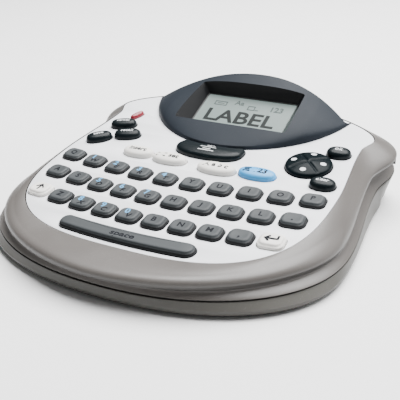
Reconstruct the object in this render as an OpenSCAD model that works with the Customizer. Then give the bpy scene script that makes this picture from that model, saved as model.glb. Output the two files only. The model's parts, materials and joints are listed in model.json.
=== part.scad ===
// Tabletop label maker: a sloping keyboard and a raised display in a two-part casing.
// X runs to the user's right, Y away from the user and Z up.
// The origin is on the table, under the middle of the casing. Sizes are in millimetres.

/* [Casing] */
// Height of the keyboard plane above the table at the middle of the casing
panel_z0 = 25.9; // [25.5:0.1:26.5]
// Slope of the keyboard plane
panel_tilt = 9.05; // [8.8:0.05:9.4]
// Thickness of the casing walls
wall = 2.2; // [1.8:0.1:2.4]
// Height of the parting line between the two shells at the front
seam_front_z = 7.5; // [7:0.5:9]
// Height of the parting line at the rear
seam_rear_z = 18.5; // [18:0.5:20]
// Height of the rim's outer edge at the front
crease_front_z = 13.4; // [13:0.2:15]
// Height of the rim's outer edge at the rear
crease_rear_z = 28.5; // [28:0.1:30]
// How far the rim swells between the panel and its rolled edge
rim_crown = 0.6; // [0.2:0.1:1]
// Height of the rubber feet
foot_h = 1.2; // [1:0.1:1.5]

/* [Keyboard] */
// Width of a letter key
key_w = 11.6; // [11:0.1:11.8]
// Depth of a letter key
key_d = 10; // [9:0.1:10.4]
// Corner radius of a letter key
key_corner = 3.4; // [2:0.1:3.8]
// Height of the letter keys above the panel
key_h = 2.4; // [2:0.1:3]
// Pitch of the middle row of letter keys
key_pitch = 14; // [13.9:0.05:14.2]
// How much wider or narrower than the middle row the next rows are pitched
pitch_step = 0.55; // [0.3:0.01:0.6]
// Distance from one row of letter keys to the next
row_pitch = 16.5; // [16:0.05:16.6]
// Travel of every key
key_travel = 1.2; // [0.8:0.1:1.2]
// Gap between a key and the hole it moves in
key_gap = 0.35; // [0.3:0.05:0.4]
// Thickness of the keyboard panel
panel_t = 2; // [1.8:0.1:2.2]

/* [Display] */
// Radius of the display cover's front edge, seen from above
cover_r = 58.8; // [58.6:0.1:59]
// Height of the display cover's crest above the table
crest_z = 55; // [53:0.5:56]
// Height of the display cover's front edge above the panel
cover_edge_h = 1.4; // [1:0.1:2]
// Width of the display
lcd_w = 53.2; // [50:0.1:53.6]
// Height of the display along its slope
lcd_h = 23.9; // [22:0.1:24.4]
// Slope of the display
lcd_tilt = 23.4; // [23:0.1:24]

/* [Tape and batteries] */
// Width of the tape cassette
cassette_w = 62; // [58:0.5:64]
// Depth of the tape cassette
cassette_d = 39.2; // [36:0.2:39.4]
// Height of the tape cassette
cassette_h = 16.2; // [15:0.1:16.4]
// Radius of a battery cell
cell_r = 7.25; // [7:0.05:7.3]
// Length of a battery cell with its button
cell_l = 50.5; // [50:0.1:50.5]
// Travel of the cutter button
cutter_travel = 4; // [3:0.5:4]

/* [Hidden] */

eps = 0.01;
flange = 0.65;
seam_gap = 0.6;
base_z = foot_h;
floor_z = base_z + 2.2;

// ---------------------------------------------------------------- outline of the casing
// An outline is half of a closed curve, mirrored in X. It has a superellipse at the front,
// a side that eases in to a waist and out to a wing, and a rounded rear corner.
// [half width, y of it, front y, front power,
//  waist half width, y of it, wing half width, y of it, half width of the flat rear, rear y, power]
rear_y = 86;
panel_line = [75.2, -1, -65.5, 2.9, 71.2, 46, 74.4, 56, 0, rear_y - 1.4, 1.7];
crease_line = [84.6, -18.5, -rear_y, 1.95, 79.8, 36.5, 85.3, 57, 38, rear_y, 2];
cove_line = [84.7, -17.5, -83.3, 2.1, 77.8, 42, 80.9, 60, 38, rear_y, 2.3];
seam_line = [87.15, -18.8, -83.4, 2.17, 80.8, 44, 83.4, 61, 38, rear_y, 2.6];
base_line = [88, -25, -84, 2.17, 81.4, 49, 79.4, 62, 38, rear_y, 2.8];

// Steps along the front, side and rear of half an outline
front_steps = 20;
side_steps = 14;
rear_steps = 14;

function mix(a, b, t) = a + (b - a) * t;
function ease(t) = t * t * (3 - 2 * t);
function unit(v) = v / norm(v);
function power_arc(angle, p) = [pow(abs(cos(angle)), 2 / p), pow(abs(sin(angle)), 2 / p)];

function front_point(l, t) =
    let (s = power_arc(90 * t, l[3]))
    [l[0] * s[1], l[1] + (l[2] - l[1]) * s[0]];
function side_point(l, t) =
    let (y = mix(l[1], l[7], t), past = y > l[5])
    [past ? mix(l[4], l[6], ease((y - l[5]) / (l[7] - l[5])))
          : mix(l[0], l[4], ease((y - l[1]) / (l[5] - l[1]))), y];
function rear_point(l, t) =
    let (s = power_arc(90 * t, l[10]))
    [l[8] + (l[6] - l[8]) * s[0], l[7] + (l[9] - l[7]) * s[1]];

function half_outline(l) = concat(
    [for (i = [0:front_steps - 1]) front_point(l, i / front_steps)],
    [for (i = [0:side_steps - 1]) side_point(l, i / side_steps)],
    [for (i = [0:rear_steps]) rear_point(l, i / rear_steps)],
    l[8] > 0 ? [[0, l[9]]] : []
);
function outline(l) =
    let (h = half_outline(l), n = len(h), flat = [for (p = h) p])
    concat(flat, [for (i = [n - 2:-1:1]) [-h[i][0], h[i][1]]]);

// Both kinds of outline need as many points, so one without a flat rear gets one more
function full_outline(l) = outline(l[8] > 0 ? l : concat([for (i = [0:7]) l[i]], [0.5, l[9], l[10]]));

// Outward direction of a closed outline at each of its points
function outward(o) =
    let (n = len(o))
    [for (i = [0:n - 1]) let (d = o[(i + 1) % n] - o[(i + n - 1) % n]) unit([d[1], -d[0]])];

// An outline moved inwards
function inset(l, by) =
    let (o = full_outline(l), out = outward(o))
    [for (i = [0:len(o) - 1]) o[i] - by * out[i]];

function panel_z(y) = panel_z0 + tan(panel_tilt) * y;
function rise(y, from, to) = ease(min(1, max(0, (y - from) / (to - from))));
function seam_z(y) = mix(seam_front_z, seam_rear_z, rise(y, -20, 95));
function crease_z(y) = mix(crease_front_z, crease_rear_z, rise(y, -28, 76));
function cove_z(y) = mix(seam_z(y), crease_z(y), 0.45);

function ring_flat(points, z) = [for (p = points) [p[0], p[1], z]];
function ring_panel(points, lift) = [for (p = points) [p[0], p[1], panel_z(p[1]) + lift]];
function ring_seam(points, lift) = [for (p = points) [p[0], p[1], seam_z(p[1]) + lift]];
function ring_crease(points, lift) = [for (p = points) [p[0], p[1], crease_z(p[1]) + lift]];
function ring_cove(points, lift) = [for (p = points) [p[0], p[1], cove_z(p[1]) + lift]];

// The rim runs from the panel's edge to a rolled outer edge. Its middle line would meet the
// outer edge this far above the crease, and the roll takes up the last of its width.
rim_roll = 3;
function roll_rise(y) = mix(3, 1.5, rise(y, -60, 20));
function bend(a, b, c, t) = (1 - t) * (1 - t) * a + 2 * t * (1 - t) * b + t * t * c;

// A ring on the rim: at the panel's edge for t = 0, where the roll starts for 0.5, at the crease for 1
function ring_rim(t, lift) =
    let (inner = full_outline(panel_line), outer = full_outline(crease_line))
    [for (i = [0:len(inner) - 1])
        let (a = [inner[i][0], inner[i][1], panel_z(inner[i][1]) + 0.3],
             c = [outer[i][0], outer[i][1], crease_z(outer[i][1])],
             b = c + [0, 0, roll_rise(c[1])],
             e = mix(a, b, 1 - min(0.5, rim_roll / norm(outer[i] - inner[i]))),
             m = mix(a, e, 0.5) + [0, 0, rim_crown])
        (t < 0.5 ? bend(a, m, e, 2 * t) : bend(e, b, c, 2 * t - 1)) + [0, 0, lift]];

// A solid through rings with as many points each: closed into a hoop, or with flat ends
module loft(rings, hoop = false) {
    n = len(rings[0]);
    m = len(rings);
    sides = [
        for (j = [0:m - (hoop ? 1 : 2)], i = [0:n - 1])
        let (a = j * n, b = ((j + 1) % m) * n, k = (i + 1) % n)
        each [[a + i, a + k, b + i], [a + k, b + k, b + i]]
    ];
    ends = hoop ? [] : [[for (i = [n - 1:-1:0]) i], [for (i = [0:n - 1]) (m - 1) * n + i]];
    faces = concat(sides, ends);
    polyhedron(points = [for (r = rings) each r], faces = hoop ? faces : [for (f = faces) reverse(f)]);
}
function reverse(v) = [for (i = [len(v) - 1:-1:0]) v[i]];

module at_panel(x, y, turn = 0) {
    translate([0, 0, panel_z0])
    rotate([panel_tilt, 0, 0])
    translate([x, y / cos(panel_tilt), 0])
    rotate(turn)
    children();
}

module both_sides() {
    children();
    mirror([1, 0, 0]) children();
}

module block(x, y, z) {
    translate([x[0], y[0], z[0]]) cube([x[1] - x[0], y[1] - y[0], z[1] - z[0]]);
}

module rod(r, from, to) {
    translate([0, 0, from]) cylinder(r = r, h = to - from, $fn = 32);
}

// ---------------------------------------------------------------- fasteners
// [distance from the middle, y, height of the joint face, height of the upper shell's boss]
screw_places = [[77, -24, 11, 17], [71.5, 44, 12.4, 29.5], [38, -71, 8, 13.8]];
screw_r = 1.25;
screw_head_r = 2.7;
screw_head_top = 4.4;
screw_grip = 4.6;
boss_r = 3.6;

module at_screws() {
    for (p = screw_places, side = [-1, 1]) translate([side * p[0], p[1], 0]) {
        $split = p[2];
        $boss_top = p[3];
        children();
    }
}

module case_screws() {
    color("silver")
    at_screws() {
        difference() {
            rod(screw_head_r, screw_head_top - 1.8, screw_head_top);
            rod(1.1, screw_head_top - 2.8, screw_head_top - 0.8);
        }
        rod(screw_r, screw_head_top, $split + screw_grip);
    }
}

foot_places = [[56, -56], [62, 68]];
foot_r = 6;

module rubber_feet() {
    color("dimgray")
    for (p = foot_places, side = [-1, 1]) translate([side * p[0], p[1], 0]) {
        rod(foot_r - 0.4, 0, 0.5);
        rod(foot_r, 0.5, foot_h);
    }
}

// ---------------------------------------------------------------- battery bay
bay_x = 55;
bay_y = [4.5, 41];
bay_top = 17.9;
bay_wall = 1.2;
door_x = 53;
door_y = [7.4, 39.4];
door_gap = 0.4;
door_t = 1.6;
door_pivot = [8.2, 2];
cell_y = [16.5, 31.5];
cell_z = 3.05 + cell_r;
tab_x = [20, 40];
latch_w = 14;

module battery_bay() {
    difference() {
        block([-bay_x - bay_wall, bay_x + bay_wall], [bay_y[0] - bay_wall, bay_y[1] + bay_wall],
              [floor_z - eps, bay_top + bay_wall]);
        block([-bay_x, bay_x], bay_y, [base_z, bay_top]);
    }
}

module battery_door() {
    color("dimgray") {
        difference() {
            union() {
                block([-door_x, door_x], [door_pivot[0], door_y[1]], [base_z, base_z + door_t]);
                translate([0, door_pivot[0], door_pivot[1]]) rotate([0, 90, 0])
                rod(door_t / 2, -door_x, door_x);
            }
            for (i = [-4:4]) translate([i * 3, door_y[1] - 9, base_z]) rotate([-90, 0, 0]) rod(0.5, 0, 6);
        }
        both_sides() {
            block(tab_x, [door_y[0] + 0.4, door_y[0] + 2], [base_z + door_t - 0.3, floor_z + 1.4]);
            block(tab_x, [bay_y[0] + 0.4, door_y[0] + 2], [floor_z + 0.3, floor_z + 1.4]);
        }
        block([-latch_w / 2, latch_w / 2], [door_y[1] - 1.6, door_y[1]],
              [base_z + door_t - eps, floor_z + 1.6]);
        block([-latch_w / 2, latch_w / 2], [door_y[1] - 1.6, door_y[1] + 0.25],
              [floor_z + 0.35, floor_z + 1.2]);
    }
}

module battery_cells() {
    color("goldenrod")
    for (y = cell_y, side = [-1, 1]) {
        turn = side * (y == cell_y[0] ? 90 : -90);
        translate([side * (cell_l / 2 + 1.2), y, cell_z]) rotate([0, turn, 0]) {
            rod(cell_r, -cell_l / 2, cell_l / 2 - 1.3);
            rod(2.7, cell_l / 2 - 1.3 - eps, cell_l / 2);
        }
    }
}

contact_w = 9;
contact_t = 0.5;

module battery_contacts() {
    color("silver")
    for (y = cell_y) {
        block([-contact_t, contact_t], [y - contact_w / 2, y + contact_w / 2], [6, 15]);
        both_sides() {
            block([cell_l + 2.2, cell_l + 2.2 + contact_t], [y - contact_w / 2, y + contact_w / 2], [6, 15]);
            translate([cell_l + 2.2 + eps, y, cell_z]) rotate([0, -90, 0])
            cylinder(r1 = 3, r2 = 1.5, h = 0.9, $fn = 32);
        }
    }
}

// ---------------------------------------------------------------- shells
shelf_top = 12.4;

// The lip stands inside the upper shell's wall
lip_in = [3.8, 5.2];
lip_h = 1.2;

module lower_bowl() {
    loft([
        ring_flat(inset(base_line, 3.2), base_z),
        ring_flat(inset(base_line, 1), base_z + 0.7),
        ring_flat(inset(base_line, 0), base_z + 2.4),
        ring_seam(inset(seam_line, 0), -seam_gap / 2),
        ring_seam(inset(seam_line, lip_in[0]), -seam_gap / 2),
        ring_seam(inset(seam_line, lip_in[0]), lip_h),
        ring_seam(inset(seam_line, lip_in[1]), lip_h),
        ring_seam(inset(seam_line, lip_in[1]), -1.6),
        ring_seam(inset(seam_line, wall + 0.2), -3.6),
        ring_flat(inset(base_line, wall + 1.6), floor_z)
    ]);
}

module lower_shell() {
    color([0.6, 0.59, 0.57])
    difference() {
        union() {
            lower_bowl();
            battery_bay();
            both_sides() {
                block([cassette_w / 2 - 8, cassette_w / 2 - 6], [47, 81], [floor_z - eps, shelf_top]);
                block([tape_door_x + 0.4, tape_door_x + 4.4], [hinge_y - 3, rear_y - 0.2],
                      [tape_gap_low - 1, hinge_z + 2.6]);
            }
            for (x = [41, 55]) block([x, x + 2], [57, 75], [floor_z - eps, engine_z]);
            at_screws() rod(boss_r + 0.6, floor_z - eps, $split - 0.2);
        }
        tape_gap();
        tape_slit();
        hinge_bores();
        block([-door_x - door_gap, door_x + door_gap], [door_y[0] - door_gap, door_y[1] + door_gap],
              [base_z - 1, floor_z + eps]);
        at_screws() {
            rod(screw_head_r + 0.3, base_z - 1, screw_head_top);
            rod(screw_r + 0.2, base_z, $split + 1);
            rod(boss_r + 0.5, $split - 0.2, $boss_top);
        }
    }
}

// The rear wall is flat between the rounded corners, and the tape door fills a gap in it
tape_door_x = 35;
tape_door_t = 2.4;
hinge_r = 1.6;
hinge_pin_r = 0.9;
hinge_pin_l = 3;
hinge_y = rear_y - hinge_r;
hinge_z = 13.6;
tape_door_top = 30.6;
tape_gap_low = hinge_z - 2;

module tape_gap() {
    block([-tape_door_x - 0.4, tape_door_x + 0.4], [rear_y - 8, rear_y + 1],
          [tape_gap_low, tape_door_top + 0.4]);
}

module hinge_bores() {
    translate([0, hinge_y, hinge_z]) rotate([0, 90, 0])
    rod(hinge_pin_r + 0.05, -tape_door_x - hinge_pin_l - 0.4, tape_door_x + hinge_pin_l + 0.4);
}

// The label leaves through a slit beside the door
slit_x = 45;
slit_w = 1.8;
slit_z = [15, 28];

module tape_slit() {
    block([slit_x - slit_w / 2, slit_x + slit_w / 2], [rear_y - 8, rear_y + 1], slit_z);
}

button_y = [68, 76];
button_z = [19.8, 26.6];
button_proud = 1.2;

// Width of the ledge that the panel lies on
ledge_w = 2.6;

module upper_hoop() {
    loft([
        ring_panel(inset(panel_line, 0), 0.3),
        ring_rim(0.12, 0), ring_rim(0.25, 0), ring_rim(0.38, 0), ring_rim(0.5, 0),
        ring_rim(0.65, 0), ring_rim(0.8, 0), ring_rim(1, 0),
        ring_crease(inset(crease_line, 0.5), -0.9),
        ring_cove(inset(cove_line, 0), 0),
        ring_seam(inset(seam_line, 0.2), seam_gap / 2),
        ring_seam(inset(seam_line, wall), seam_gap / 2),
        ring_cove(inset(cove_line, wall), 0),
        ring_crease(inset(crease_line, wall + 1), -wall),
        ring_rim(0.5, -wall - 0.6),
        ring_panel(inset(panel_line, -0.6), -4.4),
        ring_panel(inset(panel_line, ledge_w), -4.4),
        ring_panel(inset(panel_line, ledge_w), -panel_t - 0.1),
        ring_panel(inset(panel_line, 0), -panel_t - 0.1)
    ], hoop = true);
}

module upper_shell() {
    color([0.66, 0.64, 0.62])
    difference() {
        union() {
            upper_hoop();
            at_screws() rod(boss_r, $split, $boss_top);
        }
        tape_gap();
        tape_slit();
        block([64, 90], [button_y[0] - 0.4, button_y[1] + 0.4], [button_z[0] - 0.4, button_z[1] + 0.4]);
        at_panel(0, 0) for (name = ["key_shift", "key_enter", "key_space", "key_ok"]) place_keys(name)
        translate([0, 0, -panel_t - 3 - key_travel]) linear_extrude(3 + key_travel)
        key_shape($kind, $size, flange + 0.4);
        at_screws() rod(screw_r + 0.05, $split - 1, $split + screw_grip + 0.4);
    }
}

module tape_door() {
    grip = 1.2;
    color([0.6, 0.59, 0.57])
    difference() {
        union() {
            block([-tape_door_x, tape_door_x], [rear_y - tape_door_t, rear_y], [hinge_z, tape_door_top]);
            translate([0, hinge_y, hinge_z]) rotate([0, 90, 0]) rod(hinge_r, -tape_door_x, tape_door_x);
            translate([0, hinge_y, hinge_z]) rotate([0, 90, 0])
            rod(hinge_pin_r, -tape_door_x - hinge_pin_l, tape_door_x + hinge_pin_l);
        }
        for (i = [-3:3]) translate([i * 3, rear_y + 0.3, tape_door_top - 8]) rod(0.8, 0, 6);
        block([-grip * 6, grip * 6], [rear_y - 0.9, rear_y + 1], [tape_door_top - 1.2, tape_door_top + 1]);
    }
}

// ---------------------------------------------------------------- tape cassette and print engine
engine_z = 11.6;
engine_top = 29.4;
engine_x = [38.5, 60];
engine_y = [54, 76.6];
platen = [49.6, 62];
platen_r = 4;
axle_r = 1.5;
motor = [53, 71.4];
motor_r = 4.6;

cassette_rear = hinge_y - hinge_r - 0.6;

module tape_cassette() {
    y = [cassette_rear - cassette_d, cassette_rear];
    x = cassette_w / 2;
    color([0.3, 0.32, 0.35])
    difference() {
        union() {
            block([-x, x - 12], y, [shelf_top + 0.2, shelf_top + 0.2 + cassette_h]);
            block([-x, x], [y[0] + 8, y[1]], [shelf_top + 0.2, shelf_top + 0.2 + cassette_h]);
            translate([x - 12, y[0] + 12, 0]) rod(12, shelf_top + 0.2, shelf_top + 0.2 + cassette_h);
        }
        translate([-12, (y[0] + y[1]) / 2, 0]) rod(9, shelf_top, shelf_top + 3);
        translate([-12, (y[0] + y[1]) / 2, 0]) rod(2.5, shelf_top, 40);
        translate([17, y[0] + 14, 0]) rod(3, shelf_top, 40);
    }
}

module print_engine() {
    color("slategray")
    difference() {
        union() {
            block(engine_x, engine_y, [engine_z, engine_z + 1.4]);
            block([engine_x[0] + 2.4, engine_x[0] + 5], [58, 70], [engine_z + 1.3, engine_top - 1.3]);
            block([engine_x[0] + 2.4, engine_x[1]], [54, 67.4], [engine_top - 1.4, engine_top]);
            block([engine_x[1] - 1.4, engine_x[1]], [54, 67.4], [engine_z, engine_top]);
            translate([motor[0], motor[1], 0]) rod(motor_r, engine_z + 1.3, engine_top - 3);
            translate([motor[0], motor[1], 0]) rod(1, engine_top - 3.1, engine_top);
        }
        translate([platen[0], platen[1], 0]) rod(axle_r + 0.05, engine_z - 1, engine_top + 1);
    }
    color([0.15, 0.15, 0.16]) block([engine_x[0] + 5, engine_x[0] + 6.2], [59, 65], [14.5, 27]);
}

module platen_roller() {
    translate([platen[0], platen[1], 0]) {
        color([0.12, 0.12, 0.12]) rod(platen_r, engine_z + 2, engine_top - 2);
        color("silver") rod(axle_r, engine_z + 0.2, engine_top + 0.6);
    }
}

// The button's face follows the rim, and its arm carries the blade to the slit
blade_y = [77.4, 78.4];

module cutter_button() {
    arm_x = 58 + cutter_travel;
    arm_top = button_z[1] - 2.4;
    flange_x = 69.2;
    color([0.16, 0.18, 0.19]) {
        intersection() {
            block([arm_x, 90], button_y, button_z);
            translate([0, 0, button_z[0] - 1]) linear_extrude(10) polygon(inset(crease_line, -button_proud));
        }
        block([flange_x - 1.6, flange_x], [button_y[0] - 1.4, button_y[1] - 1],
              [button_z[0] - 1, button_z[1] + 0.8]);
        block([arm_x, arm_x + 2], [button_y[0], blade_y[1]], [button_z[0], arm_top]);
        block([slit_x + 3, arm_x + 2], blade_y, [button_z[0], arm_top]);
    }
    color("silver") block([slit_x + 1.4, slit_x + 4], [blade_y[1] - 0.5, blade_y[1]], [14.4, 28.2]);
}

// ---------------------------------------------------------------- keyboard panel and board
mat_w = [-panel_t - 3.3, -panel_t - 2.7];
board_w = [-panel_t - 4.7, -panel_t - 3.4];
board_rear = 40;

// The panel's outline in its own plane
function in_plane(points) = [for (p = points) [p[0], p[1] / cos(panel_tilt)]];

module panel_blank(by) {
    polygon(in_plane(inset(panel_line, by)));
}

// Gap in the panel for the display
panel_gap_x = [-34, 34];
panel_gap_y = [40.5, 77.5];

module keypad_panel() {
    color([0.9, 0.9, 0.92])
    at_panel(0, 0)
    difference() {
        translate([0, 0, -panel_t]) linear_extrude(panel_t) panel_blank(0.45);
        block(panel_gap_x, panel_gap_y, [-panel_t - 1, 1]);
        place_keys() key_hole($kind, $size);
        translate([nav_place[0], nav_place[1] / cos(panel_tilt), 0]) rod(nav_r + 0.6, -5, 5);
    }
}

module main_board() {
    at_panel(0, 0) {
        color([0.1, 0.35, 0.2])
        translate([0, 0, board_w[0]])
        linear_extrude(board_w[1] - board_w[0])
        intersection() {
            panel_blank(6);
            translate([-80, -70]) square([160, 70 + board_rear]);
        }
        color([0.55, 0.56, 0.58])
        translate([0, 0, mat_w[0]])
        linear_extrude(mat_w[1] - mat_w[0])
        difference() {
            intersection() {
                panel_blank(8);
                translate([-80, -68]) square([160, 66 + board_rear]);
            }
            translate([nav_place[0], nav_place[1] / cos(panel_tilt)]) circle(r = 6, $fn = 32);
        }
        color([0.12, 0.12, 0.13]) {
            translate([10, -26, board_w[0] - 1.6]) cube([14, 14, 1.6 + eps]);
            translate([-34, -20, board_w[0] - 1.4]) cube([9, 18, 1.4 + eps]);
            translate([-8, -44, board_w[0] - 1.2]) cube([10, 8, 1.2 + eps]);
        }
    }
}

// ---------------------------------------------------------------- display
cover_centre_y = 84.3;
cover_rear_y = 83.4;
cover_corner_drop = 17.2;
cover_x = 57.2;
cover_u = 26;
cover_v = 14;
lcd_centre = [0, 60.8, 38.4];

function cover_front(x, t) = cover_centre_y - sqrt(pow(cover_r - t, 2) - x * x);
function cover_rear(x) = cover_rear_y - 16 * pow(x / 57, 2);
function cover_crest(x) = crest_z - cover_corner_drop * pow(abs(x) / 57, 2.2);
function cover_bow(x) = max(0.5, 0.95 - 0.3 * pow(x / 33, 2));

// Height of the cover above a point a fraction s of the way from its front edge to its crest
function cover_z(x, s) =
    let (low = panel_z(cover_front(x, 0)) + cover_edge_h * (1 - 0.6 * rise(abs(x), 45, 57)))
    mix(low, max(cover_crest(x), low), pow(s, cover_bow(x)));

// Grid of points over the cover, moved in and down by t
function cover_grid(t) = [
    for (j = [0:cover_v])
    [for (i = [0:cover_u])
        let (x = (cover_x - 2.2 * t) * sin(90 * (2 * i / cover_u - 1)),
             y0 = cover_front(x, t),
             y1 = max(y0 + 0.4, cover_rear(x) - t),
             y = mix(y0, y1, j / cover_v),
             s = min(1, max(0, (y - cover_front(x, 0)) / max(0.5, cover_rear(x) - cover_front(x, 0)))))
        [x, y, cover_z(x, s) - t]]
];

// A solid from a grid of points down to the panel's plane, or below it
module grid_block(grid, below) {
    m = len(grid);
    n = len(grid[0]);
    top = [for (r = grid) each r];
    low = [for (p = top) [p[0], p[1], panel_z(p[1]) - below]];
    cells = [
        for (j = [0:m - 2], i = [0:n - 2])
        let (a = j * n + i, b = a + 1, c = a + n, d = c + 1, k = m * n)
        each [[a, c, b], [b, c, d], [k + a, k + b, k + c], [k + b, k + d, k + c]]
    ];
    rim = concat(
        [for (i = [0:n - 2]) [i, i + 1]],
        [for (j = [0:m - 2]) [j * n + n - 1, (j + 1) * n + n - 1]],
        [for (i = [n - 1:-1:1]) [(m - 1) * n + i, (m - 1) * n + i - 1]],
        [for (j = [m - 1:-1:1]) [j * n, (j - 1) * n]]
    );
    walls = [for (e = rim) each [[e[0], e[1], m * n + e[0]], [e[1], m * n + e[1], m * n + e[0]]]];
    polyhedron(points = concat(top, low), faces = concat(cells, walls));
}

module at_lcd() {
    translate(lcd_centre) rotate([lcd_tilt, 0, 0]) children();
}

// The sloping sides of the recess above the display
module recess(grow, low) {
    w = lcd_w / 2 + 0.5;
    h = lcd_h / 2 + 0.5;
    at_lcd() hull() {
        translate([-w - grow, -h - grow, low]) cube([2 * (w + grow), 2 * (h + grow), eps]);
        translate([-w - 6.5 - grow, -h - 7.5 - grow, 9])
        cube([2 * (w + 6.5 + grow), 2 * h + 13 + 2 * grow, eps]);
    }
}

module display_cover() {
    color([0.33, 0.36, 0.4])
    difference() {
        grid_block(cover_grid(0), 0);
        difference() {
            grid_block(cover_grid(2), 2);
            recess(1.5, 0);
        }
        recess(0, -0.1);
        at_lcd() block([-40, 40], [-30, 30], [-12, 0]);
    }
}

module lcd_module() {
    frame_w = lcd_w / 2 + 3;
    frame_h = lcd_h / 2 + 2.5;
    at_lcd() {
        color([0.1, 0.1, 0.11])
        difference() {
            block([-frame_w, frame_w], [-frame_h, frame_h], [-3.4, -0.3]);
            block([-lcd_w / 2, lcd_w / 2], [-lcd_h / 2, lcd_h / 2], [-1.8, 1]);
        }
        color([0.72, 0.77, 0.72])
        block([-lcd_w / 2 + 0.1, lcd_w / 2 - 0.1], [-lcd_h / 2 + 0.1, lcd_h / 2 - 0.1], [-1.7, -0.6]);
    }
}

// ---------------------------------------------------------------- keys
// Each key is [column or place, row or place, kind, colour]
first_row_y = -10.95;
rows_y = [for (i = [0:2]) first_row_y - i * row_pitch];
row_bow = 0.0013;
letter_grey = [0.45, 0.46, 0.47];
key_white = [0.93, 0.92, 0.88];
key_blue = [0.36, 0.75, 0.92];
key_dark = [0.13, 0.16, 0.17];
key_red = [0.78, 0.15, 0.22];
nav_place = [52.4, 23];
nav_r = 11.3;

function row_x(row, column) = (column - 4.5) * (key_pitch + (1 - row) * pitch_step);
function letter_place(row, column) =
    let (x = row_x(row, column)) [x, rows_y[row] + row_bow * x * x];

function oval(w, d, p) =
    [for (a = [0:10:350]) let (s = power_arc(a, p))
        [sign(cos(a)) * s[0] * w / 2, sign(sin(a)) * s[1] * d / 2]];

letter_names = [
    ["key_q", "key_w", "key_e", "key_r", "key_t", "key_y", "key_u", "key_i", "key_o", "key_p"],
    ["key_a", "key_s", "key_d", "key_f", "key_g", "key_h", "key_j", "key_k", "key_l", "key_period"],
    ["key_shift", "key_z", "key_x", "key_c", "key_v", "key_b", "key_n", "key_m", "key_comma", "key_enter"]
];
// [name, kind, size, x, y, turn, height, colour]
other_keys = [
    ["key_insert", "oval", [17, 9.4], -34.2, 7.7, 0, 2.8, key_white],
    ["key_settings", "oval", [19, 9.4], -15, 6.6, 0, 2.8, key_white],
    ["key_format", "oval", [20.4, 9.4], 11.9, 5.5, 0, 2.8, key_white],
    ["key_mode", "oval", [19, 9.4], 32.6, 7.3, 0, 2.8, key_blue],
    ["key_cancel", "oval", [14.4, 9], -59.2, 31.8, 20, 3.4, key_dark],
    ["key_save", "oval", [14, 9], -63.7, 14.4, 40, 3.4, key_dark],
    ["key_recall", "oval", [14.4, 9.4], -50.4, 22, 20, 3.4, key_dark],
    ["key_power", "oval", [3.8, 9.2], -58.3, 43.9, -17, 2.2, key_red],
    ["key_ok", "oval", [12, 9], 62.3, 37.5, 0, 3.4, key_dark],
    ["key_clear", "oval", [12.5, 8.8], 64.8, 8.4, 0, 3.4, key_dark]
];
oval_power = 2.3;

module rounded_square(w, d, r) {
    square([w - 2 * r, d], center = true);
    square([w, d - 2 * r], center = true);
    for (i = [-1, 1], j = [-1, 1]) translate([i * (w / 2 - r), j * (d / 2 - r)]) circle(r = r, $fn = 24);
}

module key_shape(kind, size, grow) {
    w = size[0] + 2 * grow;
    d = size[1] + 2 * grow;
    if (kind == "square") rounded_square(w, d, key_corner + grow);
    if (kind == "oval") polygon(oval(w, d, oval_power));
    if (kind == "bar") space_shape(grow);
    if (kind == "tongue") tongue_shape(grow);
}

// The space bar bows with the front edge of the panel
space_r = 330;
space_half = 34.5;
space_d = 8.6;
space_y = -58.4;
module space_shape(grow) {
    end = space_half - space_d / 2;
    rise = space_r - sqrt(space_r * space_r - end * end);
    translate([0, space_r]) difference() {
        intersection() {
            circle(r = space_r + space_d / 2 + grow, $fn = 720);
            translate([-end, -space_r - 20]) square([2 * end, 40]);
        }
        circle(r = space_r - space_d / 2 - grow, $fn = 720);
    }
    for (side = [-1, 1]) translate([side * end, rise]) circle(r = space_d / 2 + grow + 0.02, $fn = 32);
}

// The print button is a tongue in front of the cover's edge
tongue_w = 37;
tongue_front = 12.4;
tongue_y = 20;
tongue_back = 1.6;
module tongue_shape(grow) {
    difference() {
        translate([0, tongue_back])
        polygon(oval(tongue_w + 2 * grow, 2 * (tongue_y + tongue_back - tongue_front + grow), 2.6));
        translate([0, (cover_centre_y - tongue_y) / cos(panel_tilt)])
        circle(r = cover_r + 1.1 - grow, $fn = 360);
    }
}

// A key through its hole: cap, stem and a flange that keeps it under the panel
// An oval key's flange is only in front and behind, because its neighbours are close beside it.
module key_body(kind, size, h) {
    travel_gap = 0.3;
    edge = 0.7;
    translate([0, 0, -panel_t - 1.2]) linear_extrude(panel_t + 1.2 + h - edge) key_shape(kind, size, 0);
    translate([0, 0, h - edge - eps]) linear_extrude(edge) key_shape(kind, size, -edge);
    translate([0, 0, -panel_t - 1.2]) linear_extrude(1.2 - travel_gap)
    if (kind == "oval") key_shape(kind, size + [0, 2 * flange], 0);
    else key_shape(kind, size, flange);
}

module key_hole(kind, size) {
    translate([0, 0, -panel_t - 1]) linear_extrude(panel_t + 2) key_shape(kind, size, key_gap);
}

// Runs its children at the place of every key, or of the one named, in the panel's plane
module place_keys(name = "") {
    for (row = [0:2], column = [0:9]) if (name == "" || name == letter_names[row][column]) {
        p = letter_place(row, column);
        $kind = "square";
        $size = [key_w, key_d];
        $h = key_h;
        translate([p[0], p[1] / cos(panel_tilt), 0]) rotate(key_turn(p[0])) children();
    }
    for (k = other_keys) if (name == "" || name == k[0]) {
        $kind = k[1];
        $size = k[2];
        $h = k[6];
        translate([k[3], k[4] / cos(panel_tilt), 0]) rotate(k[5]) children();
    }
    if (name == "" || name == "key_space") {
        $kind = "bar";
        $size = [2 * space_half, space_d];
        $h = key_h;
        translate([0, space_y / cos(panel_tilt), 0]) children();
    }
    if (name == "" || name == "key_print") {
        $kind = "tongue";
        $size = [tongue_w, 10];
        $h = 3.6;
        translate([0, tongue_y / cos(panel_tilt), 0]) children();
    }
}

function key_turn(x) = atan(2 * row_bow * x) * 0.5;

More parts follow.
